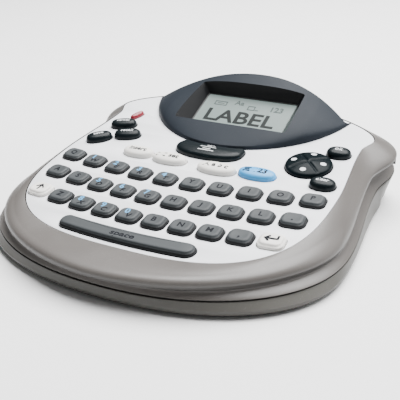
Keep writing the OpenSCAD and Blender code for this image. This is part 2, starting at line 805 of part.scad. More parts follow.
module one_key(name, paint) {
    color(paint) at_panel(0, 0) place_keys(name) key_body($kind, $size, $h);
}

module nav_pivot() {
    color([0.6, 0.6, 0.62])
    at_panel(nav_place[0], nav_place[1]) {
        rod(2.2, -4.4, -1.6);
        translate([0, 0, -2.4]) rotate([0, 90, 0]) rod(0.8, -4.4, 4.4);
        translate([0, 0, -2.4]) rotate([90, 0, 0]) rod(0.8, -4.4, 4.4);
    }
}

module nav_disc() {
    color(key_dark)
    at_panel(nav_place[0], nav_place[1]) difference() {
        union() {
            rod(nav_r, -1, 1.6);
            intersection() {
                rod(nav_r, 0.5, 4);
                translate([0, 0, -22.6]) sphere(r = 26, $fn = 64);
            }
        }
        rod(3, -2, -1.2);
        rod(3, -1.2, 0.2);
    }
}

lower_shell();
upper_shell();
keypad_panel();
display_cover();
lcd_module();
main_board();
battery_door();
battery_cells();
battery_contacts();
case_screws();
rubber_feet();
tape_door();
tape_cassette();
print_engine();
platen_roller();
cutter_button();
for (row = letter_names, name = row)
    one_key(name, name == "key_shift" || name == "key_enter" ? key_white : letter_grey);
for (k = other_keys) one_key(k[0], k[7]);
one_key("key_space", letter_grey);  // key_space
one_key("key_print", key_dark);  // key_print
nav_pivot();
nav_disc();
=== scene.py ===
import json
import math

import bmesh
import bpy
import numpy as np
from mathutils import Matrix, Vector

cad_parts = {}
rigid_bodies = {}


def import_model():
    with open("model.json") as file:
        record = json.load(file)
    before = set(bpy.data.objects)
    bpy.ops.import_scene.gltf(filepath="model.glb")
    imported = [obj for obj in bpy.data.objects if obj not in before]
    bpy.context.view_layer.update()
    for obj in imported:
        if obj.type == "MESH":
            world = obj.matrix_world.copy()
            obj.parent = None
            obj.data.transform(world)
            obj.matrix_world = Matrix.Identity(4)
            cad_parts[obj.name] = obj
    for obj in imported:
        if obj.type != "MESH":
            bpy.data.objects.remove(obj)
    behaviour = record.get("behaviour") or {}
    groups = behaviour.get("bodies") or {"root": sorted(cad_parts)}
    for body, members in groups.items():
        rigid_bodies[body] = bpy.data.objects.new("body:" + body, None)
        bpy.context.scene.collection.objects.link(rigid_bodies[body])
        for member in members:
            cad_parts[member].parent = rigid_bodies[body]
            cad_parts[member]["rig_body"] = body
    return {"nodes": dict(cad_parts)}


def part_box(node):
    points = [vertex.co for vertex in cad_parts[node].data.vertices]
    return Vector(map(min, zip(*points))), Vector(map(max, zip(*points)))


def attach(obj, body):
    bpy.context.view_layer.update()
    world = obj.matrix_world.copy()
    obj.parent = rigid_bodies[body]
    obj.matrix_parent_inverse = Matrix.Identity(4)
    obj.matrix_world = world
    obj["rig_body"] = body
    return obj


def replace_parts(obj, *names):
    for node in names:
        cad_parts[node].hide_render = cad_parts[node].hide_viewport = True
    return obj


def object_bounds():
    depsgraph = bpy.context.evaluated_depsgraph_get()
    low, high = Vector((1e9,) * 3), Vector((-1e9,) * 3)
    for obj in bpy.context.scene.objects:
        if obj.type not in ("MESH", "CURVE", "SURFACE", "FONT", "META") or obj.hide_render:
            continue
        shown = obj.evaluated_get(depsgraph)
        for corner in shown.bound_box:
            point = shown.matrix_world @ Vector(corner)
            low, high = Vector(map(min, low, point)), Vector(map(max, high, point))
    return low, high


# A tabletop label maker. Shapes are worked out in millimetres and turned to metres as meshes.
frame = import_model()
cad_low, cad_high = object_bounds()
nodes = frame["nodes"]
MM = 0.001


# ---------------------------------------------------------------- the casing's outline
# As in the CAD: [half width, y of it, front y, front power, waist half width, y of it,
# wing half width, y of it, half width of the flat rear, rear y, rear power]
REAR_Y = cad_high.y / MM
PANEL_LINE = [75.2, -1, -65.5, 2.9, 71.2, 46, 74.4, 56, 0.5, REAR_Y - 1.4, 1.7]
CREASE_LINE = [84.6, -18.5, -REAR_Y, 1.95, 79.8, 36.5, 85.3, 57, 38, REAR_Y, 2]
COVE_LINE = [84.7, -17.5, -83.3, 2.1, 77.8, 42, 80.9, 60, 38, REAR_Y, 2.3]
SEAM_LINE = [87.15, -18.8, -83.4, 2.17, 80.8, 44, 83.4, 61, 38, REAR_Y, 2.6]
BASE_LINE = [88, -25, -84, 2.17, 81.4, 49, 79.4, 62, 38, REAR_Y, 2.8]

# The keyboard's plane: its height at y 0 and its slope; then the thickness of the panel and of the walls,
# the reveal between the shells, and the heights of the base and of the floor inside it
PANEL_Z0, TILT = 25.9, math.radians(9.05)
PANEL_T, WALL, SEAM_GAP = 2, 2.2, 0.6
BASE_Z = 1.2
FLOOR_Z = BASE_Z + 2.2
# The rim's swelling, the width over which its outer edge rolls down, and how far above the crease
# its middle line would end at the front and at the rear
RIM_CROWN, RIM_ROLL = 0.6, 6
ROLL_FRONT, ROLL_REAR = 3, 1.5
# Where the rings of the rim are, as in rim_ring
RIM_PLACES = (0.01, 0.04, 0.1, 0.18, 0.26, 0.34, 0.41, 0.46, 0.5,
              0.54, 0.59, 0.64, 0.69, 0.74, 0.79, 0.84, 0.89, 0.94, 0.98)
# Heights of the seam between the shells and of the crease under the rim: (at the front, at the rear)
SEAM_Z, CREASE_Z = (7.5, 18.5), (13.4, 28.5)
# The panel's ledge: its width, and how far below the keyboard plane its underside is
LEDGE, LEDGE_DROP = 0.9, 4.4
# Points in each part of half an outline
FRONT_STEPS, SIDE_STEPS, REAR_STEPS, FLAT_STEPS = 56, 44, 40, 6


def ease(t):
    return t * t * (3 - 2 * t)


def mix(a, b, t):
    return a + (b - a) * t


def rise(y, start, end):
    """0 before start, 1 after end and a smooth rise between them."""
    return ease(np.clip((y - start) / (end - start), 0, 1))


def panel_z(y):
    return PANEL_Z0 + math.tan(TILT) * y


def seam_z(y):
    return mix(*SEAM_Z, rise(y, -20, 95))


def crease_z(y):
    return mix(*CREASE_Z, rise(y, -28, 76))


def outline(line, by=0.0):
    """Closed outline seen from above, as an array of (x, y), moved inwards by so much."""
    w, wy, front, p, waist, waist_y, wing, wing_y, flat, rear, q = line
    half = []
    for i in range(FRONT_STEPS):
        a = math.pi / 2 * i / FRONT_STEPS
        half.append((w * math.sin(a) ** (2 / p), wy + (front - wy) * math.cos(a) ** (2 / p)))
    for i in range(SIDE_STEPS):
        y = mix(wy, wing_y, i / SIDE_STEPS)
        if y > waist_y:
            half.append((mix(waist, wing, ease((y - waist_y) / (wing_y - waist_y))), y))
        else:
            half.append((mix(w, waist, ease((y - wy) / (waist_y - wy))), y))
    for i in range(REAR_STEPS):
        a = math.pi / 2 * i / REAR_STEPS
        half.append((flat + (wing - flat) * math.cos(a) ** (2 / q),
                     wing_y + (rear - wing_y) * math.sin(a) ** (2 / q)))
    half += [(flat * (1 - i / FLAT_STEPS), rear) for i in range(FLAT_STEPS + 1)]
    pts = np.array(half + [(-x, y) for x, y in half[-2:0:-1]])
    d = np.roll(pts, -1, 0) - np.roll(pts, 1, 0)
    out = np.stack([d[:, 1], -d[:, 0]], 1) / np.linalg.norm(d, axis=1)[:, None]
    return pts - by * out


def ring(points, height):
    """An outline lifted to a height, which is a number or a function of y."""
    z = height(points[:, 1]) if callable(height) else np.full(len(points), height)
    return np.column_stack([points, z])


def bend(a, b, c, t):
    """A point on the curve from a to c that is drawn towards b."""
    return (1 - t) ** 2 * a + 2 * t * (1 - t) * b + t * t * c


def rim_ring(t):
    """A ring of the rim: t is 0 at the panel's edge, 0.5 where the edge rolls over, 1 at the crease."""
    inner, outer = outline(PANEL_LINE), outline(CREASE_LINE)
    a = ring(inner, lambda y: panel_z(y) + 0.3)
    c = ring(outer, crease_z)
    b = ring(outer, lambda y: crease_z(y) + mix(ROLL_FRONT, ROLL_REAR, rise(y, -60, 20)))
    width = np.linalg.norm(outer - inner, axis=1)[:, None]
    e = mix(a, b, 1 - np.minimum(0.5, RIM_ROLL / width))
    middle = mix(a, e, 0.5)
    middle[:, 2] += RIM_CROWN * (1 - rise(middle[:, 1], 0, 45))
    return bend(a, middle, e, 2 * t) if t < 0.5 else bend(e, b, c, 2 * t - 1)


def spline(rings, steps):
    """Catmull-Rom rings through the given ones, the first and last only guiding the ends."""
    made = []
    for p0, p1, p2, p3 in zip(rings, rings[1:], rings[2:], rings[3:]):
        for i in range(steps):
            t = i / steps
            made.append(
                0.5 * (2 * p1 + (p2 - p0) * t + (2 * p0 - 5 * p1 + 4 * p2 - p3) * t * t
                       + (3 * p1 - p0 - 3 * p2 + p3) * t ** 3)
            )
    return made + [rings[-2]]


# ---------------------------------------------------------------- making meshes
def piece(name, verts, faces, mats, body, slot, smooth=35):
    """A mesh object from millimetre points, smooth except across edges sharper than smooth."""
    mesh = bpy.data.meshes.new(name)
    mesh.from_pydata([tuple(c * MM for c in v) for v in verts], [], faces)
    return dress(bpy.data.objects.new(name, mesh), mats, body, smooth)


def dress(obj, mats, body, smooth=35):
    if obj.name not in bpy.context.scene.collection.objects:
        bpy.context.scene.collection.objects.link(obj)
    obj.data.materials.clear()
    for m in mats if isinstance(mats, (list, tuple)) else [mats]:
        obj.data.materials.append(m)
    if smooth is not None:
        shaded(obj, smooth)
    if body:
        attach(obj, body)
    return obj


def shaded(obj, smooth):
    """Smooth shading, except across edges sharper than so many degrees."""
    obj.data.shade_smooth()
    obj.data.set_sharp_from_angle(angle=math.radians(smooth))
    return obj


def lofted(rings, hoop=False):
    """Points and faces of a solid through rings of as many points each."""
    n, m = len(rings[0]), len(rings)
    faces = []
    for j in range(m if hoop else m - 1):
        a, b = j * n, (j + 1) % m * n
        faces += [(a + i, a + (i + 1) % n, b + (i + 1) % n, b + i) for i in range(n)]
    if not hoop:
        faces += [tuple(range(n - 1, -1, -1)), tuple(range((m - 1) * n, m * n))]
    return np.concatenate(rings), faces


def box_mesh(low, high, name="cutter"):
    bm = bmesh.new()
    bmesh.ops.create_cube(bm, size=1)
    low, high = Vector(low) * MM, Vector(high) * MM
    for v in bm.verts:
        v.co = Vector(low[k] + (v.co[k] + 0.5) * (high[k] - low[k]) for k in range(3))
    mesh = bpy.data.meshes.new(name)
    bm.to_mesh(mesh)
    bm.free()
    obj = bpy.data.objects.new(name, mesh)
    bpy.context.scene.collection.objects.link(obj)
    return obj


def tube_mesh(radius, start, end, name="cutter", sides=48):
    """A closed cylinder between two points, for cutting or adding."""
    start, end = Vector(start) * MM, Vector(end) * MM
    bm = bmesh.new()
    bmesh.ops.create_cone(bm, cap_ends=True, segments=sides, radius1=radius * MM, radius2=radius * MM,
                          depth=(end - start).length)
    turn = (end - start).to_track_quat("Z", "Y").to_matrix().to_4x4()
    bm.transform(Matrix.Translation((start + end) / 2) @ turn)
    mesh = bpy.data.meshes.new(name)
    bm.to_mesh(mesh)
    bm.free()
    obj = bpy.data.objects.new(name, mesh)
    bpy.context.scene.collection.objects.link(obj)
    return obj


def settle(obj):
    """Applies an object's modifiers to its mesh."""
    bpy.context.view_layer.update()
    evaluated = obj.evaluated_get(bpy.context.evaluated_depsgraph_get())
    made = bpy.data.meshes.new_from_object(evaluated)
    obj.modifiers.clear()
    old = obj.data
    obj.data = made
    bpy.data.meshes.remove(old)
    return obj


def combine(obj, others, operation):
    """Cuts others from obj, or adds them to it."""
    for other in others:
        mod = obj.modifiers.new("combine", "BOOLEAN")
        mod.operation = operation
        mod.solver = "EXACT"
        mod.material_mode = "TRANSFER"
        mod.object = other
        settle(obj)
        bpy.data.objects.remove(other)
    return obj


def cut(obj, *others):
    return combine(obj, others, "DIFFERENCE")


def add(obj, *others):
    return combine(obj, others, "UNION")


def reflected(low, high):
    """The corners of a box and of its mirror image in X."""
    return [(low, high), ((-high[0], low[1], low[2]), (-low[0], high[1], high[2]))]


# ---------------------------------------------------------------- materials
# Sizes in millimetres: of the cloudy drift, of a flake's cell, and the depth of the grain
CLOUD_SIZE, FLAKE_CELL, GRAIN_DEPTH = 22, 0.35, 0.03
# The upward part of a surface's direction at which the painted shade on downward faces is full, and at which
# it is gone
PAINTED_SHADE_FULL, PAINTED_SHADE_GONE = -0.3, 0.75


def plastic(name, colour, rough, grain=0.25, bump=0.25, mottle=0.04, flake=0.0, coat=0.0, metallic=0.0,
            specular=0.5, under=1.0):
    """Moulded plastic or rubber: fine grain in the surface, cloudy gloss and a little colour drift.

    under is the part of the colour that is left where the object's surface faces down: painted shade, the
    colour darkened on downward faces.
    """
    mat = bpy.data.materials.new(name)
    mat.use_nodes = True
    tree = mat.node_tree
    shader = tree.nodes["Principled BSDF"]
    shader.inputs["Metallic"].default_value = metallic
    shader.inputs["Specular IOR Level"].default_value = specular
    shader.inputs["Coat Weight"].default_value = coat
    shader.inputs["Coat Roughness"].default_value = 0.18

    where = tree.nodes.new("ShaderNodeTexCoord")

    def noise(size_mm):
        n = tree.nodes.new("ShaderNodeTexNoise")
        n.inputs["Scale"].default_value = 1 / (size_mm * MM)
        n.inputs["Detail"].default_value = 2
        tree.links.new(where.outputs["Object"], n.inputs["Vector"])
        return n.outputs["Fac"]

    def spread(source, low, high):
        r = tree.nodes.new("ShaderNodeMapRange")
        r.inputs["From Min"].default_value = 0.3
        r.inputs["From Max"].default_value = 0.7
        r.inputs["To Min"].default_value = low
        r.inputs["To Max"].default_value = high
        tree.links.new(source, r.inputs["Value"])
        return r.outputs["Result"]

    cloud, fine = noise(CLOUD_SIZE), noise(grain)
    tint = tree.nodes.new("ShaderNodeMix")
    tint.data_type = "RGBA"
    tint.inputs[6].default_value = [c * (1 - mottle) for c in colour] + [1]
    tint.inputs[7].default_value = [min(1, c * (1 + mottle)) for c in colour] + [1]
    drift = tree.nodes.new("ShaderNodeMath")
    drift.operation = "MULTIPLY_ADD"
    tree.links.new(spread(fine, 0, 1), drift.inputs[0])
    drift.inputs[1].default_value = 0.55
    tree.links.new(spread(cloud, 0, 0.45), drift.inputs[2])
    tree.links.new(drift.outputs[0], tint.inputs[0])
    paint = tint.outputs[2]
    if flake:
        cells = tree.nodes.new("ShaderNodeTexVoronoi")
        cells.inputs["Scale"].default_value = 1 / (FLAKE_CELL * MM)
        tree.links.new(where.outputs["Object"], cells.inputs["Vector"])
        sparkle = tree.nodes.new("ShaderNodeMapRange")
        sparkle.inputs["From Min"].default_value = 0.86
        sparkle.inputs["From Max"].default_value = 1.0
        sparkle.inputs["To Max"].default_value = flake
        tree.links.new(cells.outputs["Color"], sparkle.inputs["Value"])
        lift = tree.nodes.new("ShaderNodeMix")
        lift.data_type = "RGBA"
        tree.links.new(sparkle.outputs["Result"], lift.inputs[0])
        tree.links.new(paint, lift.inputs[6])
        lift.inputs[7].default_value = (1, 1, 1, 1)
        paint = lift.outputs[2]
    # Painted shade: the colour is darkened towards black where the surface faces down, as if it lay in shade.
    if under < 1:
        facing = tree.nodes.new("ShaderNodeSeparateXYZ")
        tree.links.new(where.outputs["Normal"], facing.inputs[0])
        painted_shade_ramp = tree.nodes.new("ShaderNodeMapRange")
        painted_shade_ramp.interpolation_type = "SMOOTHSTEP"
        painted_shade_ramp.inputs["From Min"].default_value = PAINTED_SHADE_FULL
        painted_shade_ramp.inputs["From Max"].default_value = PAINTED_SHADE_GONE
        painted_shade_ramp.inputs["To Min"].default_value = under
        tree.links.new(facing.outputs["Z"], painted_shade_ramp.inputs["Value"])
        painted_shade_mix = tree.nodes.new("ShaderNodeMix")
        painted_shade_mix.data_type = "RGBA"
        tree.links.new(painted_shade_ramp.outputs["Result"], painted_shade_mix.inputs[0])
        painted_shade_mix.inputs[6].default_value = (0, 0, 0, 1)
        tree.links.new(paint, painted_shade_mix.inputs[7])
        paint = painted_shade_mix.outputs[2]
    tree.links.new(paint, shader.inputs["Base Color"])

    gloss = tree.nodes.new("ShaderNodeMath")
    gloss.operation = "ADD"
    tree.links.new(spread(cloud, rough - 0.05, rough + 0.03), gloss.inputs[0])
    tree.links.new(spread(fine, -0.03, 0.03), gloss.inputs[1])
    tree.links.new(gloss.outputs[0], shader.inputs["Roughness"])

    relief = tree.nodes.new("ShaderNodeBump")
    relief.inputs["Strength"].default_value = bump
    relief.inputs["Distance"].default_value = GRAIN_DEPTH * MM
    tree.links.new(fine, relief.inputs["Height"])
    tree.links.new(relief.outputs["Normal"], shader.inputs["Normal"])
    return mat


# Both shells carry painted shade: under dims their colour where the surface faces down, also on the doors and
# the button made of them.
SHELL_UPPER = plastic("shell_upper", (0.098, 0.0895, 0.083), 0.42, grain=0.3, flake=0.05, mottle=0.05,
                      under=0.3)
SHELL_LOWER = plastic("shell_lower", (0.085, 0.082, 0.074), 0.45, grain=0.3, flake=0.04, mottle=0.06,
                      specular=0.3, under=0.6)
PANEL = plastic("panel_white", (0.82, 0.83, 0.86), 0.5, grain=0.45, mottle=0.04, bump=0.35)
COVER = plastic("cover_slate", (0.0185, 0.0225, 0.0285), 0.44, grain=0.25, flake=0.012, specular=0.06)
# Near black for the walls of the display's recess: partly the black window frame, partly painted shade in the
# recess.
RECESS_BLACK_AND_SHADE = plastic("recess_black_and_shade", (0.004, 0.0045, 0.0055), 0.35, grain=0.3, bump=0.15, specular=0.2)
KEY_GREY = plastic("key_grey", (0.042, 0.047, 0.050), 0.55, grain=0.2, bump=0.35, mottle=0.08, specular=0.25)
# Painted shade: a much darker copy of the key grey, put on the grey keys' sides in place of the shade that
# falls there.
KEY_SKIRT_SHADE = plastic("key_skirt", (0.008, 0.009, 0.010), 0.5, grain=0.2, bump=0.3, specular=0.2)
KEY_WHITE = plastic("key_white", (0.82, 0.80, 0.755), 0.5, grain=0.2, bump=0.25, mottle=0.03)
KEY_BLUE = plastic("key_blue", (0.045, 0.33, 0.70), 0.45, grain=0.2, bump=0.25)
KEY_DARK = plastic("key_dark", (0.0035, 0.0065, 0.008), 0.34, grain=0.2, bump=0.2, specular=0.13)
PAD_DARK = plastic("pad_dark", (0.003, 0.006, 0.0075), 0.3, grain=0.2, bump=0.2, specular=0.04)
KEY_RED = plastic("key_red", (0.22, 0.008, 0.02), 0.35, grain=0.2, bump=0.2)
LCD_GLASS = plastic("lcd_glass", (0.146, 0.188, 0.178), 0.35, grain=0.5, bump=0.05, mottle=0.02, specular=0.2)
LCD_FRAME = plastic("lcd_frame", (0.006, 0.0065, 0.007), 0.4)
LCD_DARK = plastic("lcd_segment", (0.008, 0.011, 0.0105), 0.5, specular=0.1)
LCD_FAINT = plastic("lcd_faint", (0.06, 0.078, 0.074), 0.5, specular=0.1)
INK_DARK = plastic("ink_dark", (0.005, 0.006, 0.009), 0.6, specular=0.1)
INK_WHITE = plastic("ink_white", (0.70, 0.72, 0.73), 0.6)
INK_BLUE = plastic("ink_blue", (0.075, 0.31, 0.56), 0.6)
BOARD = plastic("board_green", (0.02, 0.13, 0.06), 0.35, coat=0.3, mottle=0.2)
CELL = plastic("cell_jacket", (0.40, 0.22, 0.04), 0.3, metallic=0.6, grain=0.4)
STEEL = plastic("plated_steel", (0.50, 0.50, 0.48), 0.3, metallic=1.0, grain=0.15)
RUBBER = plastic("rubber_black", (0.012, 0.012, 0.013), 0.75, bump=0.5)
CASSETTE = plastic("cassette_smoke", (0.03, 0.034, 0.042), 0.25, coat=0.3)
ENGINE = plastic("engine_grey", (0.065, 0.072, 0.08), 0.5, bump=0.4)


# ---------------------------------------------------------------- the casing
# Each screw boss: (x, y, height of its top)
BOSSES = [(side * x, y, top) for x, y, top in ((77, -24, 11), (71.5, 44, 12.4), (38, -71, 8))
          for side in (-1, 1)]
# Radii of a boss, of its recess for the screw's head, of its hole and of the room for the upper shell's boss
BOSS_R, HEAD_R, SHANK_R, ROOM_R = 4.2, 3, 1.45, 4.7
# The battery bay, each part as two corners
BAY_WALLS = (-56.2, 3.3, BASE_Z + 1), (56.2, 42.2, 19.1)
BAY_INSIDE = (-55, 4.5, FLOOR_Z), (55, 41, 17.9)
BAY_OPENING = (-53.4, 7, 0), (53.4, 39.8, FLOOR_Z + 0.5)
# The tape door: half its width, the gap around it, its top, the line of its hinge, and its pins' holes
DOOR_X, DOOR_GAP = 35, 0.4
DOOR_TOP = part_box("tape_door")[1].z / MM
HINGE_Y, HINGE_Z = REAR_Y - 1.6, 13.6
PIN_HOLE_R, PIN_REACH = 0.95, 3.4
# The label slit's middle and half its width, then the cutter button's window and the gap in it
SLIT_X, SLIT_HALF = 45, 0.9
BUTTON_Y, BUTTON_Z, BUTTON_GAP = (68, 76), (19.8, 26.6), 0.4


def tape_gap():
    """The opening for the tape door."""
    return box_mesh((-DOOR_X - DOOR_GAP, REAR_Y - 8, HINGE_Z - 2),
                    (DOOR_X + DOOR_GAP, REAR_Y + 1, DOOR_TOP + DOOR_GAP))


def tape_slit():
    """The slit that the label comes out of."""
    return box_mesh((SLIT_X - SLIT_HALF, REAR_Y - 8, 15), (SLIT_X + SLIT_HALF, REAR_Y + 1, 28))


def button_window():
    """The opening for the cutter button."""
    return box_mesh((64, BUTTON_Y[0] - BUTTON_GAP, BUTTON_Z[0] - BUTTON_GAP),
                    (90, BUTTON_Y[1] + BUTTON_GAP, BUTTON_Z[1] + BUTTON_GAP))


def upper_shell():
    """The upper shell, as rings from the panel over the rim and the cove to the seam, and back inside."""
    cove = mix(ring(outline(COVE_LINE, 1), seam_z), ring(outline(COVE_LINE, 1), crease_z), 0.5)
    cove_in = mix(ring(outline(COVE_LINE, WALL), seam_z), ring(outline(COVE_LINE, WALL), crease_z), 0.45)
    crease = rim_ring(1)
    under = ring(outline(CREASE_LINE, 0.6), lambda y: crease_z(y) - 1.5)
    low = ring(outline(SEAM_LINE, 0.2), lambda y: seam_z(y) + SEAM_GAP / 2 + 0.35)
    guide = ring(outline(SEAM_LINE, 0), lambda y: seam_z(y) - 2)
    rings = [ring(outline(PANEL_LINE), lambda y: panel_z(y) + lift) for lift in (-PANEL_T - 0.1, 0.05, 0.2)]
    rings += [rim_ring(t) for t in RIM_PLACES]
    rings += spline([rim_ring(RIM_PLACES[-1]), crease, under, cove, low, guide], 5)
    ledge, inside = outline(PANEL_LINE, LEDGE), outline(CREASE_LINE, WALL + 1)
    rings += [
        ring(outline(SEAM_LINE, 0.28), lambda y: seam_z(y) + SEAM_GAP / 2 + 0.1),
        ring(outline(SEAM_LINE, 0.5), lambda y: seam_z(y) + SEAM_GAP / 2),
        ring(outline(SEAM_LINE, WALL), lambda y: seam_z(y) + SEAM_GAP / 2),
        cove_in,
        ring(inside, lambda y: crease_z(y) - WALL),
        ring(mix(ledge, inside, 0.4), lambda y: panel_z(y) - LEDGE_DROP),
        ring(ledge, lambda y: panel_z(y) - LEDGE_DROP),
        ring(ledge, lambda y: panel_z(y) - PANEL_T - 0.1),
    ]
    shell = piece("casing_top", *lofted(rings[::-1], hoop=True), SHELL_UPPER, "casing", "shell_upper", None)
    cut(shell, tape_gap())
    cut(shell, tape_slit())
    cut(shell, button_window())
    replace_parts(shell, "upper_shell")
    return shaded(shell, 30)


def lower_shell():
    """The lower shell: a tray with the battery bay, the screw bosses and the tape door's ears."""
    base, seam = outline(BASE_LINE), outline(SEAM_LINE)
    foot = [(3.4, 0), (2.4, 0.03), (1.5, 0.2), (0.8, 0.6), (0.3, 1.3), (0.05, 2.2)]
    rings = [ring(outline(BASE_LINE, by), BASE_Z + up) for by, up in foot]
    wall_low = ring(base, BASE_Z + 2.8)
    wall_high = ring(seam, lambda y: seam_z(y) - SEAM_GAP / 2 - 0.3)
    rings += [mix(wall_low, wall_high, t / 8) for t in range(9)]
    lip = [(0.1, -0.1), (0.35, 0), (3.8, 0), (3.8, 1.5), (5.2, 1.5), (5.2, -1.3), (WALL + 0.2, -3.3)]
    rings += [ring(outline(SEAM_LINE, by), lambda y, up=up: seam_z(y) - SEAM_GAP / 2 + up) for by, up in lip]
    rings.append(ring(outline(BASE_LINE, WALL + 1.6), FLOOR_Z))
    shell = piece("casing_base", *lofted(rings), SHELL_LOWER, "casing", "shell_lower", None)
    add(shell, box_mesh(*BAY_WALLS))
    for x, y, top in BOSSES:
        add(shell, tube_mesh(BOSS_R, (x, y, BASE_Z + 1), (x, y, top - 0.2)))
    for ear in reflected((DOOR_X + DOOR_GAP, HINGE_Y - 3, HINGE_Z - 3),
                         (DOOR_X + 4.4, REAR_Y - 0.2, HINGE_Z + 2.6)):
        add(shell, box_mesh(*ear))
    cut(shell, box_mesh(*BAY_INSIDE))
    cut(shell, box_mesh(*BAY_OPENING))
    cut(shell, tape_gap())
    cut(shell, tape_slit())
    pin_end = DOOR_X + PIN_REACH
    cut(shell, tube_mesh(PIN_HOLE_R, (-pin_end, HINGE_Y, HINGE_Z), (pin_end, HINGE_Y, HINGE_Z)))
    for x, y, top in BOSSES:
        cut(shell, tube_mesh(HEAD_R, (x, y, 0), (x, y, 4.4)))
        cut(shell, tube_mesh(SHANK_R, (x, y, 3), (x, y, top + 1)))
        cut(shell, tube_mesh(ROOM_R, (x, y, top - 0.2), (x, y, top + 6)))
    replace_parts(shell, "lower_shell")
    return shaded(shell, 30)


# ---------------------------------------------------------------- the keyboard's plane
def to_world(uvw):
    """From the plane's own right, up-slope and outward distances to the frame, in millimetres."""
    u, v, w = np.asarray(uvw, float).T
    return np.column_stack([u, v * math.cos(TILT) - w * math.sin(TILT),
                            PANEL_Z0 + v * math.sin(TILT) + w * math.cos(TILT)])


def plane_box(node):
    """Lowest and highest corner of a CAD node in the plane's own directions."""
    p = np.array([v.co for v in nodes[node].data.vertices]) / MM - [0, 0, PANEL_Z0]
    c, s = math.cos(TILT), math.sin(TILT)
    uvw = np.column_stack([p[:, 0], p[:, 1] * c + p[:, 2] * s, p[:, 2] * c - p[:, 1] * s])
    return uvw.min(0), uvw.max(0)


# Bow of the rows of keys: each key is turned by half of its row's slope
ROW_BOW = 0.0013
# A letter key's width, depth, corner radius and height, and the width of a CAD key's flange
KEY_W, KEY_D, KEY_CORNER, KEY_H = 11.6, 10, 3.4, 2.4
FLANGE = 0.65
OVAL_POWER = 2.3
# The space bar: radius of its bow, half its length and its depth
SPACE_R, SPACE_HALF, SPACE_D = 330, 34.5, 8.6
# The print button: its oval's width, how far that reaches forward, how far its middle is moved back,
# its power, and the button's height
TONGUE_W, TONGUE_FRONT, TONGUE_BACK, TONGUE_POWER, TONGUE_H = 37, 7.6, 1.6, 2.6, 3.0
# Gap between a key and its hole, between the cover and the print button, and around the panel
KEY_GAP, COVER_GAP, PANEL_GAP = 0.35, 1.1, 0.45
# The circle of the display cover's front edge: its radius and the y of its middle
COVER_R, COVER_Y = 58.8, 84.3
# The panel's openings for the pad and under the cover: (width, depth, corner radius) and y of the middle
PAD_OPENING = 23.8
COVER_OPENING, COVER_OPENING_Y = (68, 37.5, 1), 59.7


def rounded(w, d, r, steps=8):
    """A rectangle with rounded corners."""
    pts = []
    for q, (sx, sy) in enumerate([(1, 1), (-1, 1), (-1, -1), (1, -1)]):
        for i in range(steps + 1):
            a = math.pi / 2 * (q + i / steps)
            pts.append((sx * (w / 2 - r) + r * math.cos(a), sy * (d / 2 - r) + r * math.sin(a)))
    return np.array(pts)


def oval(w, d, power=OVAL_POWER, steps=56):
    """An ellipse, or a squarer oval for a power above 2."""
    a = np.arange(steps) * 2 * math.pi / steps
    c, s = np.cos(a), np.sin(a)
    return np.column_stack([np.sign(c) * np.abs(c) ** (2 / power) * w / 2,
                            np.sign(s) * np.abs(s) ** (2 / power) * d / 2])


def letter_shape(grow):
    return rounded(KEY_W + 2 * grow, KEY_D + 2 * grow, max(0.8, KEY_CORNER + 0.7 * grow))


def oval_shape(w, d):
    return lambda grow: oval(w + 2 * grow, d + 2 * grow)


def bar_shape(grow):
    """The space bar's outline, bowed with the panel's front edge."""
    half = SPACE_D / 2 + grow
    end = SPACE_HALF - SPACE_D / 2
    reach = math.asin(end / SPACE_R)
    pts = []
    for side, sign in ((-1, 1), (1, -1)):
        for i in range(13):
            a = sign * mix(-reach, reach, i / 12)
            r = SPACE_R - side * half
            pts.append((r * math.sin(a), SPACE_R - r * math.cos(a)))
        tip = sign * reach
        for i in range(1, 12):
            b = tip + (math.pi / 2 if sign < 0 else -math.pi / 2) + math.pi * i / 12
            centre = np.array([SPACE_R * math.sin(tip), SPACE_R - SPACE_R * math.cos(tip)])
            pts.append(tuple(centre + half * np.array([math.cos(b), math.sin(b)])))
    return np.array(pts)[::-1] if shoelace(pts) < 0 else np.array(pts)


def shoelace(pts):
    """Twice the area inside an outline, below 0 if it runs clockwise."""
    p = np.asarray(pts)
    q = np.roll(p, -1, 0)
    return float((p[:, 0] * q[:, 1] - q[:, 0] * p[:, 1]).sum())


def tongue_shape(grow):
    """The print button's outline: an oval's front, with the display cover's circle behind it."""
    centre_y, radius = COVER_Y / math.cos(TILT) - TONGUE_V, COVER_R + COVER_GAP - grow
    full = oval(TONGUE_W + 2 * grow, 2 * (TONGUE_FRONT + TONGUE_BACK + grow), TONGUE_POWER, 240)
    full = full + [0, TONGUE_BACK]
    keep = np.hypot(full[:, 0], full[:, 1] - centre_y) > radius
    keep &= full[:, 1] < centre_y
    front = full[keep]
    front = front[np.argsort(np.arctan2(front[:, 0], -(front[:, 1] - 3)))][::2]
    edge = front[-1][0]
    back = [(x, centre_y - math.sqrt(radius ** 2 - x * x)) for x in np.linspace(edge, -edge, 17)[1:-1]]
    return resample(np.vstack([front, back]), 96)


def resample(pts, count):
    """The same closed outline with evenly spaced points."""
    loop = np.vstack([pts, pts[:1]])
    along = np.concatenate([[0], np.cumsum(np.linalg.norm(np.diff(loop, axis=0), axis=1))])
    at = np.linspace(0, along[-1], count, endpoint=False)
    return np.column_stack([np.interp(at, along, loop[:, k]) for k in (0, 1)])


TONGUE_V = plane_box("key_print")[0][1] + FLANGE + TONGUE_FRONT


def turned(pts, angle):
    """Points of the plane turned about its middle."""
    c, s = math.cos(angle), math.sin(angle)
    return pts @ np.array([[c, s], [-s, c]])


def spot(node):
    """Where a key's middle is in the plane."""
    low, high = plane_box(node)
    return (low[0] + high[0]) / 2, (low[1] + high[1]) / 2


# What each letter key says
LETTERS = {"key_" + c: c.upper() for c in "qwertyuiopasdfghjklzxcvbnm"}
LETTERS.update({"key_period": ".", "key_comma": ","})
